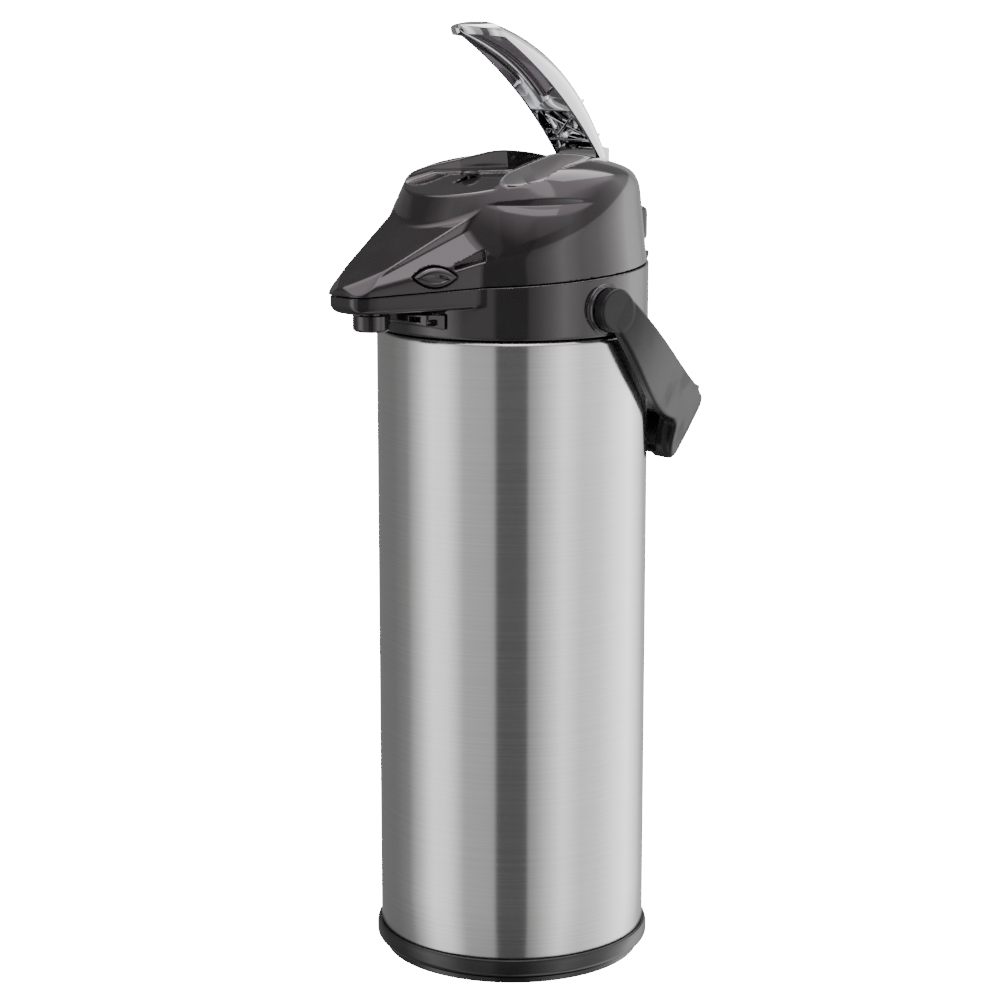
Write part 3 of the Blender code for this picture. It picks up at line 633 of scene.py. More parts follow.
def shoulder_notch(x, y, z):
    """Lens-shaped ledge low on the shoulder, above the beak's root."""
    rho = np.hypot(x, y)
    angle = np.degrees(np.arctan2(x, -y))
    away = (angle - 53.0) / 24.0
    shelf = (407.2 + 1.05 * (64.6 - rho) - z) * 0.69
    back = (59.8 + 0.25 * (z - 411.0) - rho) * 0.97
    return both(shelf, back, 0.8) + 2.6 * away ** 2


def groove_planes():
    """Wedge from the latch button to the beak's root, in the side facet."""
    ox, oy = beak_out()
    points = []
    for (x, y), low, high in (((36.0, -71.2), 380.2, 382.6), ((43.6, -57.2), 384.4, 389.2)):
        for depth in (-4.8, 6.0):
            points += [(x + ox * depth, y + oy * depth, z - 0.25 * depth) for z in (low, high)]
    return hull_planes(points, half=False)


GROOVE = solid_of(groove_planes(), 0.7)


def button_space(x, y, z, half_length, half_height):
    """Leaf-shaped outline of the latch button on the beak's side."""
    ox, oy = beak_out()
    along = (x - BUTTON[0]) * -oy + (y - BUTTON[1]) * ox
    depth = (x - BUTTON[0]) * ox + (y - BUTTON[1]) * oy
    up = z - BUTTON[2]
    outline = (np.abs(up) / half_height + (along / half_length) ** 2 - 1.0) * half_height * 0.8
    return np.maximum(outline, np.abs(depth) - 9.0)


def cover_outside(x, y, z):
    value = either(dome_field(x, y, z), beak_field(x, y, z), 1.6)
    half = np.interp(y, (-80.0, -41.6, FLOOR_BREAK_Y, -14.5, 14.0, 60.0),
                     (60.0, 35.5, 30.6, 25.0, 19.4, 19.4))
    level = floor_z(y)
    trough = both(both(x - half - 0.12 * (z - level), level - z, 3.0), y - 58.6, 1.0)
    value = without(value, flank_cut(x, y, z), 0.9)
    value = without(value, trough, 1.1)
    value = without(value, shoulder_notch(x, y, z), 0.8)
    return without(value, GROOVE(x, y, z), 0.9)


def box_field(x, y, z, half, along, height):
    """A box given by half width and its limits in y and z."""
    return np.maximum(np.maximum(x - half, np.maximum(along[0] - y, y - along[1])),
                      np.maximum(height[0] - z, z - height[1]))


COVER_CUTS = [                # half width, y from and to, z from and to, fillet
    (18.8, (37.0, 59.4), (404.0, 450.0), 0.5),           # room for the lever's root
    (7.5, (20.0, 40.0), (405.0, 422.2), 0.3),            # room for its cam arm
    (2.2, (-39.5, -26.0), (404.0, 450.0), 0.4)]          # slot of the lock knob


def cover_field(x, y, z):
    """Shell of the cover, cut off at the seam and opened for what passes through it."""
    outer = cover_outside(x, y, z)
    value = np.maximum(outer, -outer - WALL)
    value = both(value, seam(y) + 0.2 - z, 0.6)
    for half, along, height, fillet in COVER_CUTS:
        value = without(value, box_field(x, y, z, half, along, height), fillet)
    value = without(value, button_space(x, y, z, 11.9, 5.5), 0.7)
    pin = np.maximum(np.hypot(y - LEVER_HINGE[0], z - LEVER_HINGE[1]) - BORE_R, x - 24.0)
    return np.maximum(value, -pin)


HEAD_STEP, HEAD_KEEP = 0.85, 0.5               # grid step, and share of the triangles kept
moulded_piece("moulded_cover", cover_field, (-76, -120, 362), (76, 76, 441), HEAD_STEP,
              HEAD_KEEP, GLOSS, "lid", ["lid_cover"])


# ---- head: collar -----------------------------------------------------------
TRAY_TIP_Z, TRAY_ROOT_Z, TRAY_TOP = 357.4, 360.5, 400.0      # low edges, and above the seam
KNUCKLE_X, KNUCKLE_R = (13.2, 20.0), 5.0


def tray_points():
    """Corners of the beak's lower half, from its root to its blunt tip."""
    root_x, root_y = BEAK_ROOT
    tip_x, tip_y = BEAK_TIP
    points = [(root_x, y, z) for y in (root_y, root_y + 8.0) for z in (TRAY_ROOT_Z, TRAY_TOP)]
    for x, y in ((tip_x, tip_y + 3.0), (tip_x - 3.0, tip_y)):
        points += [(x, y, TRAY_TOP), (x, y, TRAY_TIP_Z + 3.0), (x - 2.0, y + 3.0, TRAY_TIP_Z)]
    return mirrored(points)


def knuckle_points():
    """Eye of the lid hinge on the collar's right side, with its foot on the collar."""
    eye = [(LID_HINGE[0] + KNUCKLE_R * cos(radians(a)), LID_HINGE[1] + KNUCKLE_R * sin(radians(a)))
           for a in range(0, 360, 20)]
    return [(x, y, z) for x in KNUCKLE_X for y, z in eye + [(71.0, 364.0), (71.0, 378.0)]]


TRAY = solid_of(hull_planes(tray_points()), 2.6)
KNUCKLE = solid_of(hull_planes(knuckle_points(), half=False), 0.5)


MOUTH_R, LEDGE_Z = 48.0, 352.0                 # opening in the collar's inner ledge
WELL_R, WELL_Z = 60.0, 355.0                   # free space above the ledge
BAIL_BORE_R, NOZZLE_HOLE_R = 4.3, 6.4


def collar_field(x, y, z):
    """Ring on the vessel with the beak's lower half, the bail's sockets and the hinge eyes."""
    rho = np.hypot(x, y)
    barrel = both(rho - BODY_R, SHELL_TOP + 0.5 - z, 2.0)
    outer = either(barrel, TRAY(x, y, z), 1.6)
    value = np.maximum(outer, -outer - WALL)
    value = np.maximum(value, -np.maximum(rho - MOUTH_R, z - LEDGE_Z))
    across = np.hypot(y, z - BAIL_Z)
    socket = np.maximum(np.maximum(across - 12.6, x - 73.4), 62.0 - x)
    value = either(value, socket, 0.8)
    value = either(value, KNUCKLE(x, y, z), 0.8)
    value = np.maximum(value, -np.maximum(rho - WELL_R, WELL_Z - z))
    value = np.maximum(value, -(across - BAIL_BORE_R))
    value = np.maximum(value, -(np.hypot(y - LID_HINGE[0], z - LID_HINGE[1]) - BORE_R))
    nozzle_hole = np.maximum(np.hypot(x, y - NOZZLE_Y) - NOZZLE_HOLE_R, z - 366.0)
    value = np.maximum(value, -nozzle_hole)
    return both(value, z - seam(y) + 0.2, 0.6)


moulded_piece("moulded_collar", collar_field, (-78, -120, 342), (78, 86, 386), HEAD_STEP,
              HEAD_KEEP, GLOSS, "vessel", ["collar"])


def pivot_socket(side):
    """Stepped ring that the bail's boss turns against, as a lathe about the X axis."""
    mesh = lathe("bail_socket", rounded([
        (4.3, 66.0), (4.3, 74.1), (9.4, 74.1), (9.8, 73.3), (10.6, 73.3), (11.0, 74.1),
        (12.0, 74.1), (12.3, 73.0), (13.0, 73.0), (13.5, 72.4), (13.5, 66.0)],
        [0.1, 0.2, 0.3, 0.2, 0.2, 0.3, 0.3, 0.2, 0.2, 0.4, 0.1], True), 96)
    mesh.transform(Matrix.Translation((0, 0, BAIL_Z * MM))
                   @ Matrix.Rotation(radians(90 * side), 4, "Y"))
    return mesh


for side, label in ((1, "right"), (-1, "left")):
    place_piece(f"bail_socket_{label}", pivot_socket(side), GLOSS, "vessel", [])


# ---- steel body and foot ----------------------------------------------------
def body_profile():
    outer = rounded([(NECK_R + 1.2, SHELL_TOP), (BODY_R, SHELL_TOP), (BODY_R, 300.0)],
                    [0, 3.4, 0], False, 8)
    heights = np.linspace(300.0, SHELL_BOTTOM + 1.0, 12)[1:]
    outer = outer[:-1] + [(BODY_R, float(h)) for h in heights]
    return outer + [(BODY_R - 0.3, SHELL_BOTTOM), (BODY_R - 0.8, SHELL_BOTTOM),
                    (BODY_R - 0.8, SHELL_TOP - 3.8), (BODY_R - 1.8, SHELL_TOP - 1.6),
                    (BODY_R - 3.8, SHELL_TOP - 0.8), (NECK_R + 1.2, SHELL_TOP - 0.8)]


place_piece("steel_body", lathe("steel_body", body_profile(), 256), STEEL, "vessel",
            ["body_shell"])
turned_piece("foot_bumper", [
    (BODY_R + 0.35, 14.2), (BODY_R + 1.5, 14.1), (FOOT_R, 12.0), (FOOT_R, 6.6),
    (FOOT_R - 1.6, 4.9), (FOOT_R - 4.3, 4.2), (67.5, 4.2), (67.5, 6.4), (10.0, 6.4),
    (10.0, 8.4), (66.5, 8.4), (68.5, 13.6), (BODY_R + 0.35, 13.6)],
    [0.2, 0.6, 1.6, 1.8, 0.8, 0.3, 0.2, 0.2, 0.2, 0.2, 0.2, 0.2, 0.1], 200,
    FOOT_BLACK, "vessel", ["base_ring"], "black_satin")
turned_piece("turntable_disc", [
    (2.3, 8.9), (9.6, 8.9), (9.6, 3.9), (66.0, 3.9), (TURNTABLE_R, 3.2), (TURNTABLE_R, 0.0),
    (66.0, 0.0), (66.0, 0.5), (12.0, 0.5), (12.0, 0.0), (2.3, 0.0)],
    [0.3, 0.5, 0.4, 0.4, 0.7, 0.6, 0.2, 0.2, 0.2, 0.2, 0.2], 180,
    FOOT_BLACK, "turntable", ["swivel_plate"], "black_satin")


# ---- bail -------------------------------------------------------------------
ARM_RUN = (0.81, -0.587)      # direction of the arm in (y, z)
# Edges and faces of the arm: places along it, and the height or the |x| at each.
ARM_LOW = ((4.0, 17.9, 39.8, 70.5, 93.9), (-7.6, -11.1, -17.5, -19.3, -13.7))
ARM_HIGH = ((-1.4, 12.3, 31.0, 67.7, 108.6), (11.3, 10.3, 8.3, 8.9, 13.1))
ARM_INSIDE = ((1.3, 15.0, 35.0, 69.0, 101.0), (74.8, 74.8, 71.6, 60.2, 42.5))
ARM_OUTSIDE = ((1.3, 15.0, 35.0, 69.0, 101.0, 118.0), (81.0, 80.8, 78.6, 68.0, 51.5, 46.0))
GRIP_OUTLINE = [(95.6, 305.6), (101.0, 300.0), (89.0, 281.0), (76.5, 267.6), (71.0, 270.5),
                (69.0, 285.0), (76.0, 298.0)]
HOLLOW_OUTLINE = [(64.0, 273.0), (64.0, 286.0), (76.5, 294.5), (92.0, 300.5), (95.0, 297.5),
                  (86.0, 283.5), (78.0, 273.0)]


def bar_planes(outline):
    """Planes of an endless bar along X, from the corners of its convex (y, z) outline."""
    middle = np.mean(outline, axis=0)
    planes = []
    for a, b in zip(np.array(outline), np.array(outline[1:] + outline[:1])):
        out = np.array([b[1] - a[1], a[0] - b[0]]) / np.hypot(*(b - a))
        out *= -1.0 if out @ (middle - a) > 0 else 1.0
        planes.append((0.0, *out, out @ a))
    return planes


def smooth_line(places):
    return np.poly1d(np.polyfit(*places, 3))


EDGE_LOW, EDGE_HIGH, FACE_INSIDE, FACE_OUTSIDE = map(
    smooth_line, (ARM_LOW, ARM_HIGH, ARM_INSIDE, ARM_OUTSIDE))
GRIP_BAR = solid_of(bar_planes(GRIP_OUTLINE), 7.0)
GRIP_HOLLOW = solid_of(bar_planes(HOLLOW_OUTLINE), 2.0)
GRIP_END, HOLLOW_END = 44.0, 39.0
ARM_START, ARM_END, BEND_START, INSIDE_END = 2.0, 104.0, 84.0, 96.0
FACE_LEAN = 0.87              # the faces lean as the arms draw in
BOSS_R, BOSS_X, BORE_END = 11.3, (74.6, 81.3), 79.8


def bail_field(x, y, z):
    """Strap-like arms, a grip with a hollow on its inner side and round bosses."""
    run = y * ARM_RUN[0] + (z - BAIL_Z) * ARM_RUN[1]
    rise = (z - BAIL_Z) * ARM_RUN[0] - y * ARM_RUN[1]
    bar = GRIP_BAR(x, y, z)
    strap = both(both(rise - EDGE_HIGH(run), EDGE_LOW(run) - rise, 1.0),
                 both(run - ARM_END, ARM_START - run, 1.0), 1.0)
    outline = either(strap, both(bar, BEND_START - run, 2.0), 9.0)
    inside = FACE_INSIDE(run)
    inside = np.where(run > INSIDE_END, np.minimum(inside, GRIP_END), inside)
    faces = both((x - FACE_OUTSIDE(run)) * FACE_LEAN, (inside - x) * FACE_LEAN, 1.6)
    value = either(both(outline, faces, 1.8), both(bar, x - GRIP_END, 1.0), 4.0)
    value = without(value, both(GRIP_HOLLOW(x, y, z), x - HOLLOW_END, 2.0), 1.0)
    across = np.hypot(y, z - BAIL_Z)
    boss = both(np.maximum(across - BOSS_R, BOSS_X[0] - x), x - BOSS_X[1], 1.4)
    value = either(value, boss, 0.8)
    return np.maximum(value, -np.maximum(across - BAIL_BORE_R, x - BORE_END))


moulded_piece("carrying_bail", bail_field, (-84, -16, 262), (84, 106, 374), 0.9, 0.8, SATIN,
              "bail", ["handle"])


# ---- lever ------------------------------------------------------------------
LEVER_LIP = ((48.0, 431.5), (-20.5, 495.8))        # underside edge, root to nose (y, z)
LEVER_TOP = ((57.0, 431.5), (-25.0, 503.6))
LEVER_NOSE = ((-35.6, 497.3), (-37.8, 501.9))
LEVER_HALF, LEVER_WALL, RIM_RISE = 17.0, 1.9, 0.5
NOSE_START = 0.86


def arc_between(start, end, sag, share):
    a, b = Vector(start), Vector(end)
    chord = b - a
    bulge = Vector((chord.y, -chord.x)).normalized() * sag
    return a + chord * share + bulge * (1.0 - (2.0 * share - 1.0) ** 2)


def lever_section(share):
    """Lip point, top point and half width of the lever at a share of its length."""
    if share <= NOSE_START:
        t = share / NOSE_START
        return arc_between(*LEVER_LIP, 4.9, t), arc_between(*LEVER_TOP, 14.0, t), LEVER_HALF
    t = (share - NOSE_START) / (1.0 - NOSE_START)
    lip = Vector(LEVER_LIP[1]).lerp(Vector(LEVER_NOSE[0]), t)
    top = Vector(LEVER_TOP[1]).lerp(Vector(LEVER_NOSE[1]), t)
    return lip, top, LEVER_HALF * sqrt(max(1.0 - (0.985 * t) ** 2, 0.0))


def lever_skin(share, across):
    """Point on the lever's outside; across runs from -1 to 1 over its width."""
    lip, top, half = lever_section(share)
    t = across * 0.5 * pi
    u = abs(sin(t)) ** 0.55 * (1 if t >= 0 else -1)
    h = abs(cos(t)) ** 0.62
    y, z = lip.lerp(top, h)
    return Vector((half * u, y, z))


def lever_mesh():
    """The lever's skin with an inner wall and a rounded rim between them."""
    body_rows, nose_rows, columns = 52, 20, 41
    shares = [NOSE_START * k / body_rows for k in range(body_rows + 1)]
    shares += [NOSE_START + (1 - NOSE_START) * sin(radians(90 * k / nose_rows))
               for k in range(1, nose_rows + 1)]
    grid = [[lever_skin(s, -1 + 2 * i / (columns - 1)) for i in range(columns)] for s in shares]
    bm = bmesh.new()
    outer = [[bm.verts.new(p) for p in row] for row in grid]

    def sheet(rows_of, flip):
        for low, high in zip(rows_of, rows_of[1:]):
            for i in range(columns - 1):
                ring = (low[i], high[i], high[i + 1], low[i + 1])
                bm.faces.new(ring[::-1] if flip else ring)

    sheet(outer, False)
    bm.normal_update()
    inner = [[bm.verts.new(v.co - v.normal * LEVER_WALL) for v in row] for row in outer]
    sheet(inner, True)

    def border(rows_of):
        right, left = [r[-1] for r in rows_of[-2::-1]], [r[0] for r in rows_of]
        return left + rows_of[-1][1:] + right + rows_of[0][-2:0:-1]

    edge_out, edge_in = border(outer), border(inner)
    count = len(edge_out)
    down = Vector((0.0, LEVER_LIP[0][0] - LEVER_TOP[0][0], -1.2)).normalized()
    rim = [bm.verts.new(a.co.lerp(b.co, 0.5) + down * RIM_RISE)
           for a, b in zip(edge_out, edge_in)]
    for k in range(count):
        j = (k + 1) % count
        bm.faces.new((edge_out[j], edge_out[k], rim[k], rim[j]))
        bm.faces.new((rim[j], rim[k], edge_in[k], edge_in[j]))
    bmesh.ops.recalc_face_normals(bm, faces=bm.faces)
    return bm


def add_bar(bm, outline, half):
    """A closed bar along X with a (y, z) outline."""
    ends = [[bm.verts.new((x, y, z)) for y, z in outline] for x in (-half, half)]
    bm.faces.new(ends[0][::-1])
    bm.faces.new(ends[1])
    for i in range(len(outline)):
        j = (i + 1) % len(outline)
        bm.faces.new((ends[0][i], ends[0][j], ends[1][j], ends[1][i]))


def lever_root(bm):
    """The barrel round the lever's pin and the cam arm that reaches forward."""
    y, z = LEVER_HINGE
    barrel = [(y + 5.0 * cos(radians(a)), z + 5.0 * sin(radians(a))) for a in range(165, 376, 12)]
    add_bar(bm, barrel + [(57.2, 436.5), (50.0, 438.0), (47.0, 434.0)], 14.5)
    cam = [(y + 4.6 * cos(radians(a)), z + 4.6 * sin(radians(a))) for a in range(90, -60, -15)]
    cam += [(y - 25.0 + 2.5 * cos(radians(a)), z - 9.5 + 2.5 * sin(radians(a)))
            for a in range(-70, -260, -15)]
    add_bar(bm, cam, 6.0)


lever_bm = lever_mesh()
lever_root(lever_bm)
bmesh.ops.recalc_face_normals(lever_bm, faces=lever_bm.faces)
place_piece("pump_lever", mesh_of("pump_lever", lever_bm, 50.0), CHROME, "lever", ["lever"])


# ---- repeated ribs ----------------------------------------------------------
def row_tree():
    """Geometry nodes: a straight row of equal plates, turned about X then about their height."""
    tree = bpy.data.node_groups.new("plate_row", "GeometryNodeTree")
    kinds = {"Count": "Int", "Start": "Vector", "Step": "Vector", "Size": "Vector",
             "Turn": "Vector", "Finish": "Material"}
    tree.interface.new_socket("Geometry", in_out="OUTPUT", socket_type="NodeSocketGeometry")
    for name, kind in kinds.items():
        tree.interface.new_socket(name, in_out="INPUT", socket_type="NodeSocket" + kind)
    n = Nodes(tree)
    given = n.add("NodeGroupInput").outputs
    line = n.add("GeometryNodeMeshLine", {
        "Count": given["Count"], "Start Location": given["Start"], "Offset": given["Step"]},
        mode="OFFSET")
    plate = n.add("GeometryNodeMeshCube", {"Size": given["Size"]})
    rows = n.add("GeometryNodeInstanceOnPoints", {
        "Points": line.outputs["Mesh"], "Instance": plate.outputs["Mesh"]})
    turn = n.add("FunctionNodeEulerToRotation", {"Euler": given["Turn"]})
    tree.links.new(turn.outputs[0], rows.inputs["Rotation"])
    real = n.add("GeometryNodeRealizeInstances", {"Geometry": rows.outputs[0]})
    done = n.add("GeometryNodeSetMaterial", {
        "Geometry": real.outputs[0], "Material": given["Finish"]})
    result = n.add("NodeGroupOutput")
    tree.links.new(done.outputs[0], result.inputs["Geometry"])
    return tree


PLATE_ROW = row_tree()


def plate_rows(name, rows, finish, bevel):
    """Runs the plate row tree for each row and joins the results into one mesh."""
    whole = bmesh.new()
    for row in rows:
        holder = bpy.data.objects.new(name, bpy.data.meshes.new(name))
        bpy.context.scene.collection.objects.link(holder)
        maker = holder.modifiers.new("plates", "NODES")
        maker.node_group = PLATE_ROW
        sockets = {item.name: item.identifier for item in PLATE_ROW.interface.items_tree
                   if item.in_out == "INPUT"}
        for key, value in {**row, "Finish": finish}.items():
            maker[sockets[key]] = value
        soft = holder.modifiers.new("soft_edges", "BEVEL")
        soft.width = bevel * MM
        soft.segments = 2
        whole.from_mesh(plain_mesh(holder))
    mesh = bpy.data.meshes.new(name)
    whole.to_mesh(mesh)
    whole.free()
    mesh.shade_smooth()
    mesh.set_sharp_from_angle(angle=radians(50))
    return mesh


RIB_THICK = 1.3


def lever_ribs():
    """Cross ribs and a diagonal pair in the hollow of the lever, near its root."""
    rows = []
    for share, spin in ((0.10, 0.0), (0.275, 0.0), (0.185, 34.0), (0.185, -34.0)):
        lip, top, _ = lever_section(share)
        ahead = lever_section(share + 0.02)[0]
        run = (ahead - lip).normalized()
        deep = (top - lip).length - 2.4
        middle = lip + (top - lip).normalized() * (0.5 * deep + 1.6)
        lean = Vector((0.0, run.x, run.y))
        height = Vector((0.0, (top - lip).x, (top - lip).y)).normalized()
        height = (height - lean * height.dot(lean)).normalized()
        side = lean.cross(height)
        facing = Matrix((side, lean, height)).transposed()
        facing = facing @ Matrix.Rotation(radians(spin), 3, "Z")
        wide = 31.0 if not spin else 26.0
        rows.append({"Count": 1, "Start": (0.0, middle.x * MM, middle.y * MM),
                     "Step": (0.0, 0.0, 0.0), "Turn": tuple(facing.to_euler()),
                     "Size": (wide * MM, RIB_THICK * MM, max(deep - 1.6, 2.0) * MM)})
    return rows


place_piece("lever_ribs", plate_rows("lever_ribs", lever_ribs(), CHROME, 0.35), CHROME,
            "lever", [])


# ---- knob, buttons, nozzle, bracket, hinge cover ---------------------------
KNOB_Y = FLOOR_BREAK_Y - 0.5
KNOB_Z = float(floor_z(KNOB_Y - 5.0)) + 0.5
KNOB_R, STEM_R = 5.3, 1.8
turned_piece("lock_knob_cap", [
    (0.0, KNOB_Z + 3.7), (KNOB_R - 0.9, KNOB_Z + 3.7), (KNOB_R, KNOB_Z + 2.9),
    (KNOB_R, KNOB_Z + 1.6), (STEM_R, KNOB_Z + 1.6), (STEM_R, KNOB_Z - 8.0), (0.0, KNOB_Z - 8.0)],
    [0, 0.9, 0.5, 0.3, 0.2, 0.2, 0], 64,
    FOOT_BLACK, "lock", ["lock_knob"], "black_gloss", at=(0.0, KNOB_Y), loop=False)
place_piece("lock_knob_ridges", plate_rows("lock_knob_ridges", [
    {"Count": 4, "Start": (0.0, (KNOB_Y - 2.7) * MM, (KNOB_Z + 3.8) * MM),
     "Step": (0.0, 1.8 * MM, 0.0), "Size": (5.6 * MM, 0.6 * MM, 0.6 * MM), "Turn": (0, 0, 0)}],
    SATIN, 0.2), SATIN, "lock", [])


def latch_field(x, y, z):
    """Leaf-shaped button with a raised crescent and a hollow below it."""
    ox, oy = beak_out()
    along = (x - BUTTON[0]) * -oy + (y - BUTTON[1]) * ox
    depth = (x - BUTTON[0]) * ox + (y - BUTTON[1]) * oy
    up = z - BUTTON[2]
    half_length, half_height = 11.2, 4.9
    leaf = np.abs(up) / half_height + (along / half_length) ** 2 - 1.0
    hollow = np.clip(-(np.abs(up + 1.2) / 3.0 + ((along + 1.0) / 8.5) ** 2 - 1.0), 0.0, 0.5)
    crown = 3.4 - 1.5 * np.clip(leaf + 1.0, 0.0, 1.0) ** 3 - 2.6 * hollow
    return both(both(leaf * half_height * 0.8, depth - crown, 0.7), -5.0 - depth, 0.5)


def latch_meshes():
    """The button mesh of the right side and its mirror image."""
    low, high = (0, BUTTON[1] - 14, BUTTON[2] - 7), (BUTTON[0] + 12, BUTTON[1] + 14, BUTTON[2] + 7)
    both_sides = moulded("latches", latch_field, low, high, 0.45)
    for side, label in ((1, "right"), (-1, "left")):
        mesh = both_sides.copy()
        bm = bmesh.new()
        bm.from_mesh(mesh)
        wrong = [v for v in bm.verts if v.co.x * side < 0]
        bmesh.ops.delete(bm, geom=wrong, context="VERTS")
        bm.to_mesh(mesh)
        bm.free()
        mesh.shade_smooth()
        place_piece(f"latch_leaf_{label}", mesh, GLOSS, f"button_{label}",
                    [f"latch_button_{label}"])


latch_meshes()

turned_piece("pouring_nozzle", [
    (4.5, 358.8), (6.0, 358.8), (6.0, 356.9), (9.6, 356.9), (9.6, 349.6), (8.2, 348.4),
    (4.5, 348.4)], [0.2, 0.2, 0.2, 0.3, 1.2, 0.8, 0.3], 96,
    GLOSS, "vessel", ["spout_nozzle"], "black_gloss", at=(0.0, NOZZLE_Y))


BRACKET = solid_of(hull_planes(mirrored([
    (26.0, -69.0, 349.0), (26.0, -69.0, 357.0), (22.0, -78.0, 351.0),
    (22.0, -78.0, 357.6), (8.0, -82.0, 353.0), (8.0, -82.0, 357.0)])), 0.8)


def bracket_field(x, y, z):
    """Plate under the beak, with two small windows and two screw holes."""
    value = BRACKET(x, y, z)
    value = np.maximum(value, BODY_R + 0.3 - np.hypot(x, y))
    value = np.maximum(value, z - 356.0 - 0.05 * (y + 116.0))
    screw_hole = np.maximum(np.hypot(x - 23.0, z - 353.2) - 1.5, y + 73.0)
    window = np.maximum(np.abs(x - 14.5) - 3.4, np.maximum(np.abs(z - 354.6) - 1.2, y + 77.0))
    return without(without(value, screw_hole, 0.3), window, 0.3)


moulded_piece("bracket_under_beak", bracket_field, (-30, -86, 346), (30, -60, 361), 0.5, 1.0,
              GLOSS, "vessel", ["nozzle_bracket"])


EYE_HALF = 12.7


def hinge_field(x, y, z):
    """Rounded cover plate on a neck and an eye that turns between the collar's knuckles."""
    plate = both(both(np.maximum(x - 20.0, 72.4 - y), y - 82.8, 3.4),
                 np.maximum(385.4 - z, z - 405.0), 4.0)
    barrel = np.maximum(np.hypot(y - LID_HINGE[0], z - LID_HINGE[1]) - KNUCKLE_R, x - EYE_HALF)
    neck = np.maximum(np.maximum(x - EYE_HALF, np.abs(y - LID_HINGE[0]) - 4.4),
                      np.maximum(LID_HINGE[1] - z, z - 387.0))
    value = either(either(barrel, neck, 0.5), plate, 0.8)
    return np.maximum(value, -(np.hypot(y - LID_HINGE[0], z - LID_HINGE[1]) - BORE_R))


moulded_piece("hinge_block", hinge_field, (-24, 69, 371), (24, 86, 408), 0.6, 1.0, GLOSS,
              "lid", ["hinge_cover"])

# ---- kept CAD nodes ---------------------------------------------------------
KEPT = {
    INNER_STEEL: ["inner_liner", "bottom_plate", "swivel_washer", "swivel_screw", "base_screw_1",
                  "base_screw_2", "base_screw_3", "lid_hinge_pin", "siphon_tube", "lid_screw_1",
                  "lid_screw_2", "lid_screw_3", "lid_screw_4", "lever_pin", "return_spring",
                  "handle_pin_right", "handle_pin_left"],
    INNER_GREY: ["glide_ring", "stopper", "spout_tube", "lid_base", "plunger"],
    SILICONE: ["liner_pad", "neck_gasket", "air_seal", "bellows"],
}
for finish, names in KEPT.items():
    for name in names:
        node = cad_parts[name]
        node.data.materials.clear()
        node.data.materials.append(finish)

# ---- floor, world and lights ------------------------------------------------
def floor():
    bm = bmesh.new()
    bmesh.ops.create_circle(bm, cap_ends=True, segments=96, radius=14000.0)
    mesh = mesh_of("studio_floor", bm)
    material = bpy.data.materials.new("studio_floor_white")
    material.use_nodes = True
    shader = material.node_tree.nodes["Principled BSDF"]
    shader.inputs["Roughness"].default_value = 0.9
    shader.inputs["Specular IOR Level"].default_value = 0.1
    shader.inputs["Base Color"].default_value = (0.93, 0.93, 0.93, 1.0)
    shader.inputs["Emission Color"].default_value = (1.0, 1.0, 1.0, 1.0)
    shader.inputs["Emission Strength"].default_value = FLOOR_GLOW
    mesh.materials.append(material)
    obj = bpy.data.objects.new("studio_floor", mesh)
    bpy.context.scene.collection.objects.link(obj)
    obj.visible_glossy = False
    obj.visible_diffuse = False


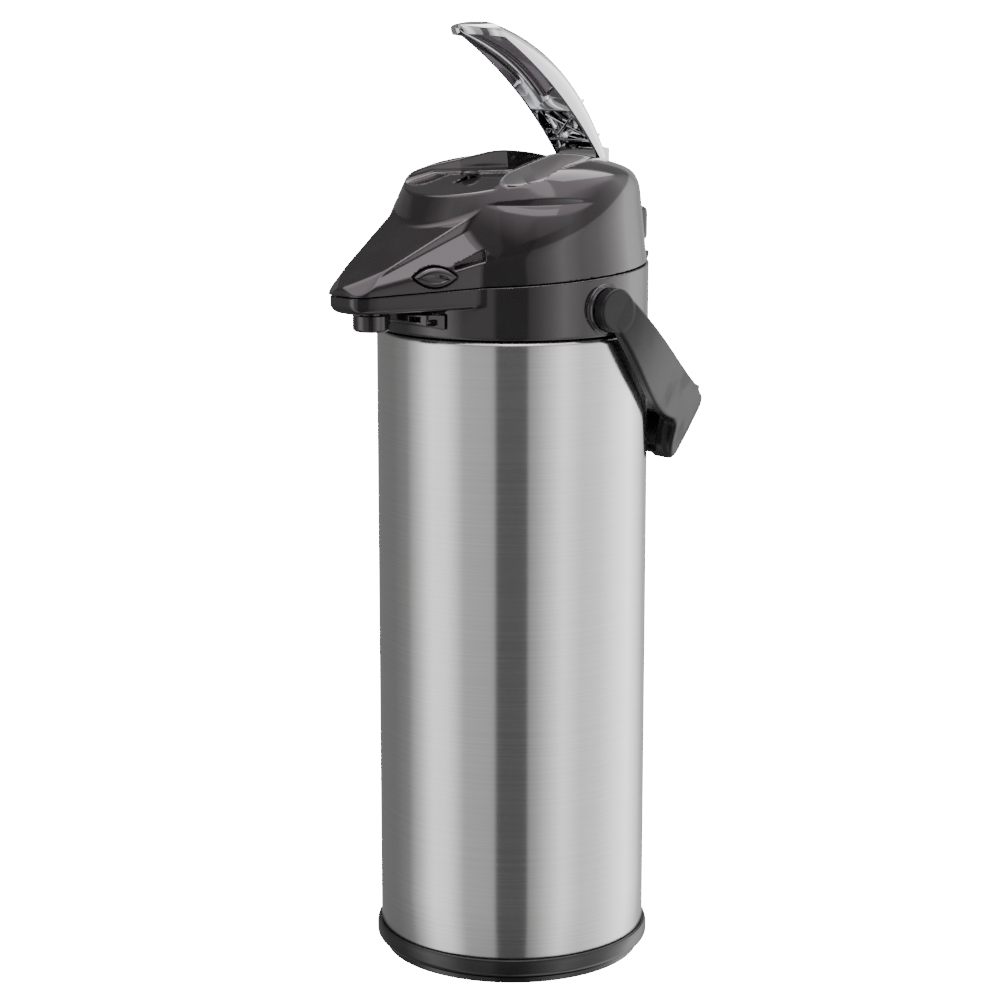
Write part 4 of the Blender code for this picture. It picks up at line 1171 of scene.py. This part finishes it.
def studio_world():
    """Soft boxes to the left and right of the camera's side, with a dark gap between them."""
    world = bpy.data.worlds.new("studio")
    bpy.context.scene.world = world
    world.use_nodes = True
    n = Nodes(world.node_tree)
    background = world.node_tree.nodes["Background"]
    facing = n.add("ShaderNodeTexCoord").outputs["Generated"]
    parts = n.add("ShaderNodeSeparateXYZ", {0: facing}).outputs
    turn = radians(GAP_TURN)
    right = n.math("ADD", n.math("MULTIPLY", parts["X"], cos(turn)),
                   n.math("MULTIPLY", parts["Y"], sin(turn)))
    ahead = n.math("SUBTRACT", n.math("MULTIPLY", parts["X"], sin(turn)),
                   n.math("MULTIPLY", parts["Y"], cos(turn)))
    angle = n.math("ARCTAN2", right, ahead)
    spread = n.map_range(angle, -pi, pi, smooth=False)
    bands = n.add("ShaderNodeValToRGB", {"Fac": spread})
    ramp = bands.color_ramp
    while len(ramp.elements) > 1:
        ramp.elements.remove(ramp.elements[0])
    for i, (degrees_at, level) in enumerate(BANDS):
        spot = ramp.elements[0] if i == 0 else ramp.elements.new(0.5 + degrees_at / 360.0)
        spot.position = 0.5 + degrees_at / 360.0
        spot.color = (level / BAND_TOP, level / BAND_TOP, level / BAND_TOP * 0.99, 1.0)
    lift = n.map_range(parts["Z"], -0.9, -0.1, 0.6, 1.0)
    above = n.map_range(parts["Z"], *BOX_TOP, 1.0, ABOVE_BOX)
    overhead = n.map_range(parts["Z"], *CEILING_EDGE)
    level = n.math("MULTIPLY", n.math("MULTIPLY", lift, above), BAND_TOP)
    level = n.add("ShaderNodeMix", {0: overhead, 2: level, 3: 1.0}, data_type="FLOAT").outputs[0]
    light = n.mix(overhead, bands.outputs["Color"], CEILING)
    seen = n.add("ShaderNodeLightPath").outputs["Is Camera Ray"]
    glow = n.mix(seen, light, (1.0, 1.0, 1.0))
    world.node_tree.links.new(glow, background.inputs["Color"])
    strength = n.math("ADD", n.math("MULTIPLY", level, n.math("SUBTRACT", 1.0, seen)),
                      n.math("MULTIPLY", seen, BACKDROP))
    world.node_tree.links.new(strength, background.inputs["Strength"])


GAP_TURN = 48.0               # the dark gap faces the camera's side
FLOOR_GLOW, BACKDROP = 24.0, 28.0
BOX_TOP, ABOVE_BOX = (0.27, 0.36), 0.42        # sine of elevation, and the share left above it
CEILING_EDGE, CEILING = (0.59, 0.82), (2.1, 1.96, 2.04)
BAND_TOP = 4.0
BANDS = [                     # degrees from the gap, and brightness
    (-180, 0.35), (-160, 0.22), (-120, 0.24), (-100, 0.34), (-86, 0.95), (-72, 2.05),
    (-58, 1.85), (-42, 0.68), (-17, 0.62), (-14.5, 0.5), (-13.5, 0.14), (12.5, 0.14),
    (14, 0.45), (22, 0.68), (32, 1.2), (44, 2.0), (62, 1.3), (80, 1.5), (100, 2.4),
    (118, 3.2), (135, 1.9), (150, 0.8), (180, 0.35)]


def area_light(name, place, aim, size, power):
    light = bpy.data.lights.new(name, "AREA")
    light.shape = "RECTANGLE"
    light.size, light.size_y = size
    light.energy = power
    obj = bpy.data.objects.new(name, light)
    bpy.context.scene.collection.objects.link(obj)
    obj.location = place
    obj.rotation_euler = (Vector(aim) - Vector(place)).to_track_quat("-Z", "Y").to_euler()


floor()
studio_world()
area_light("overhead_soft", (-0.4, 0.5, 2.0), (0, 0, 0.3), (1.6, 1.6), 22.0)
area_light("beak_side_soft", (0.61, -0.365, 1.74), (0.03, -0.08, 0.385), (0.75, 0.75), 2.6)
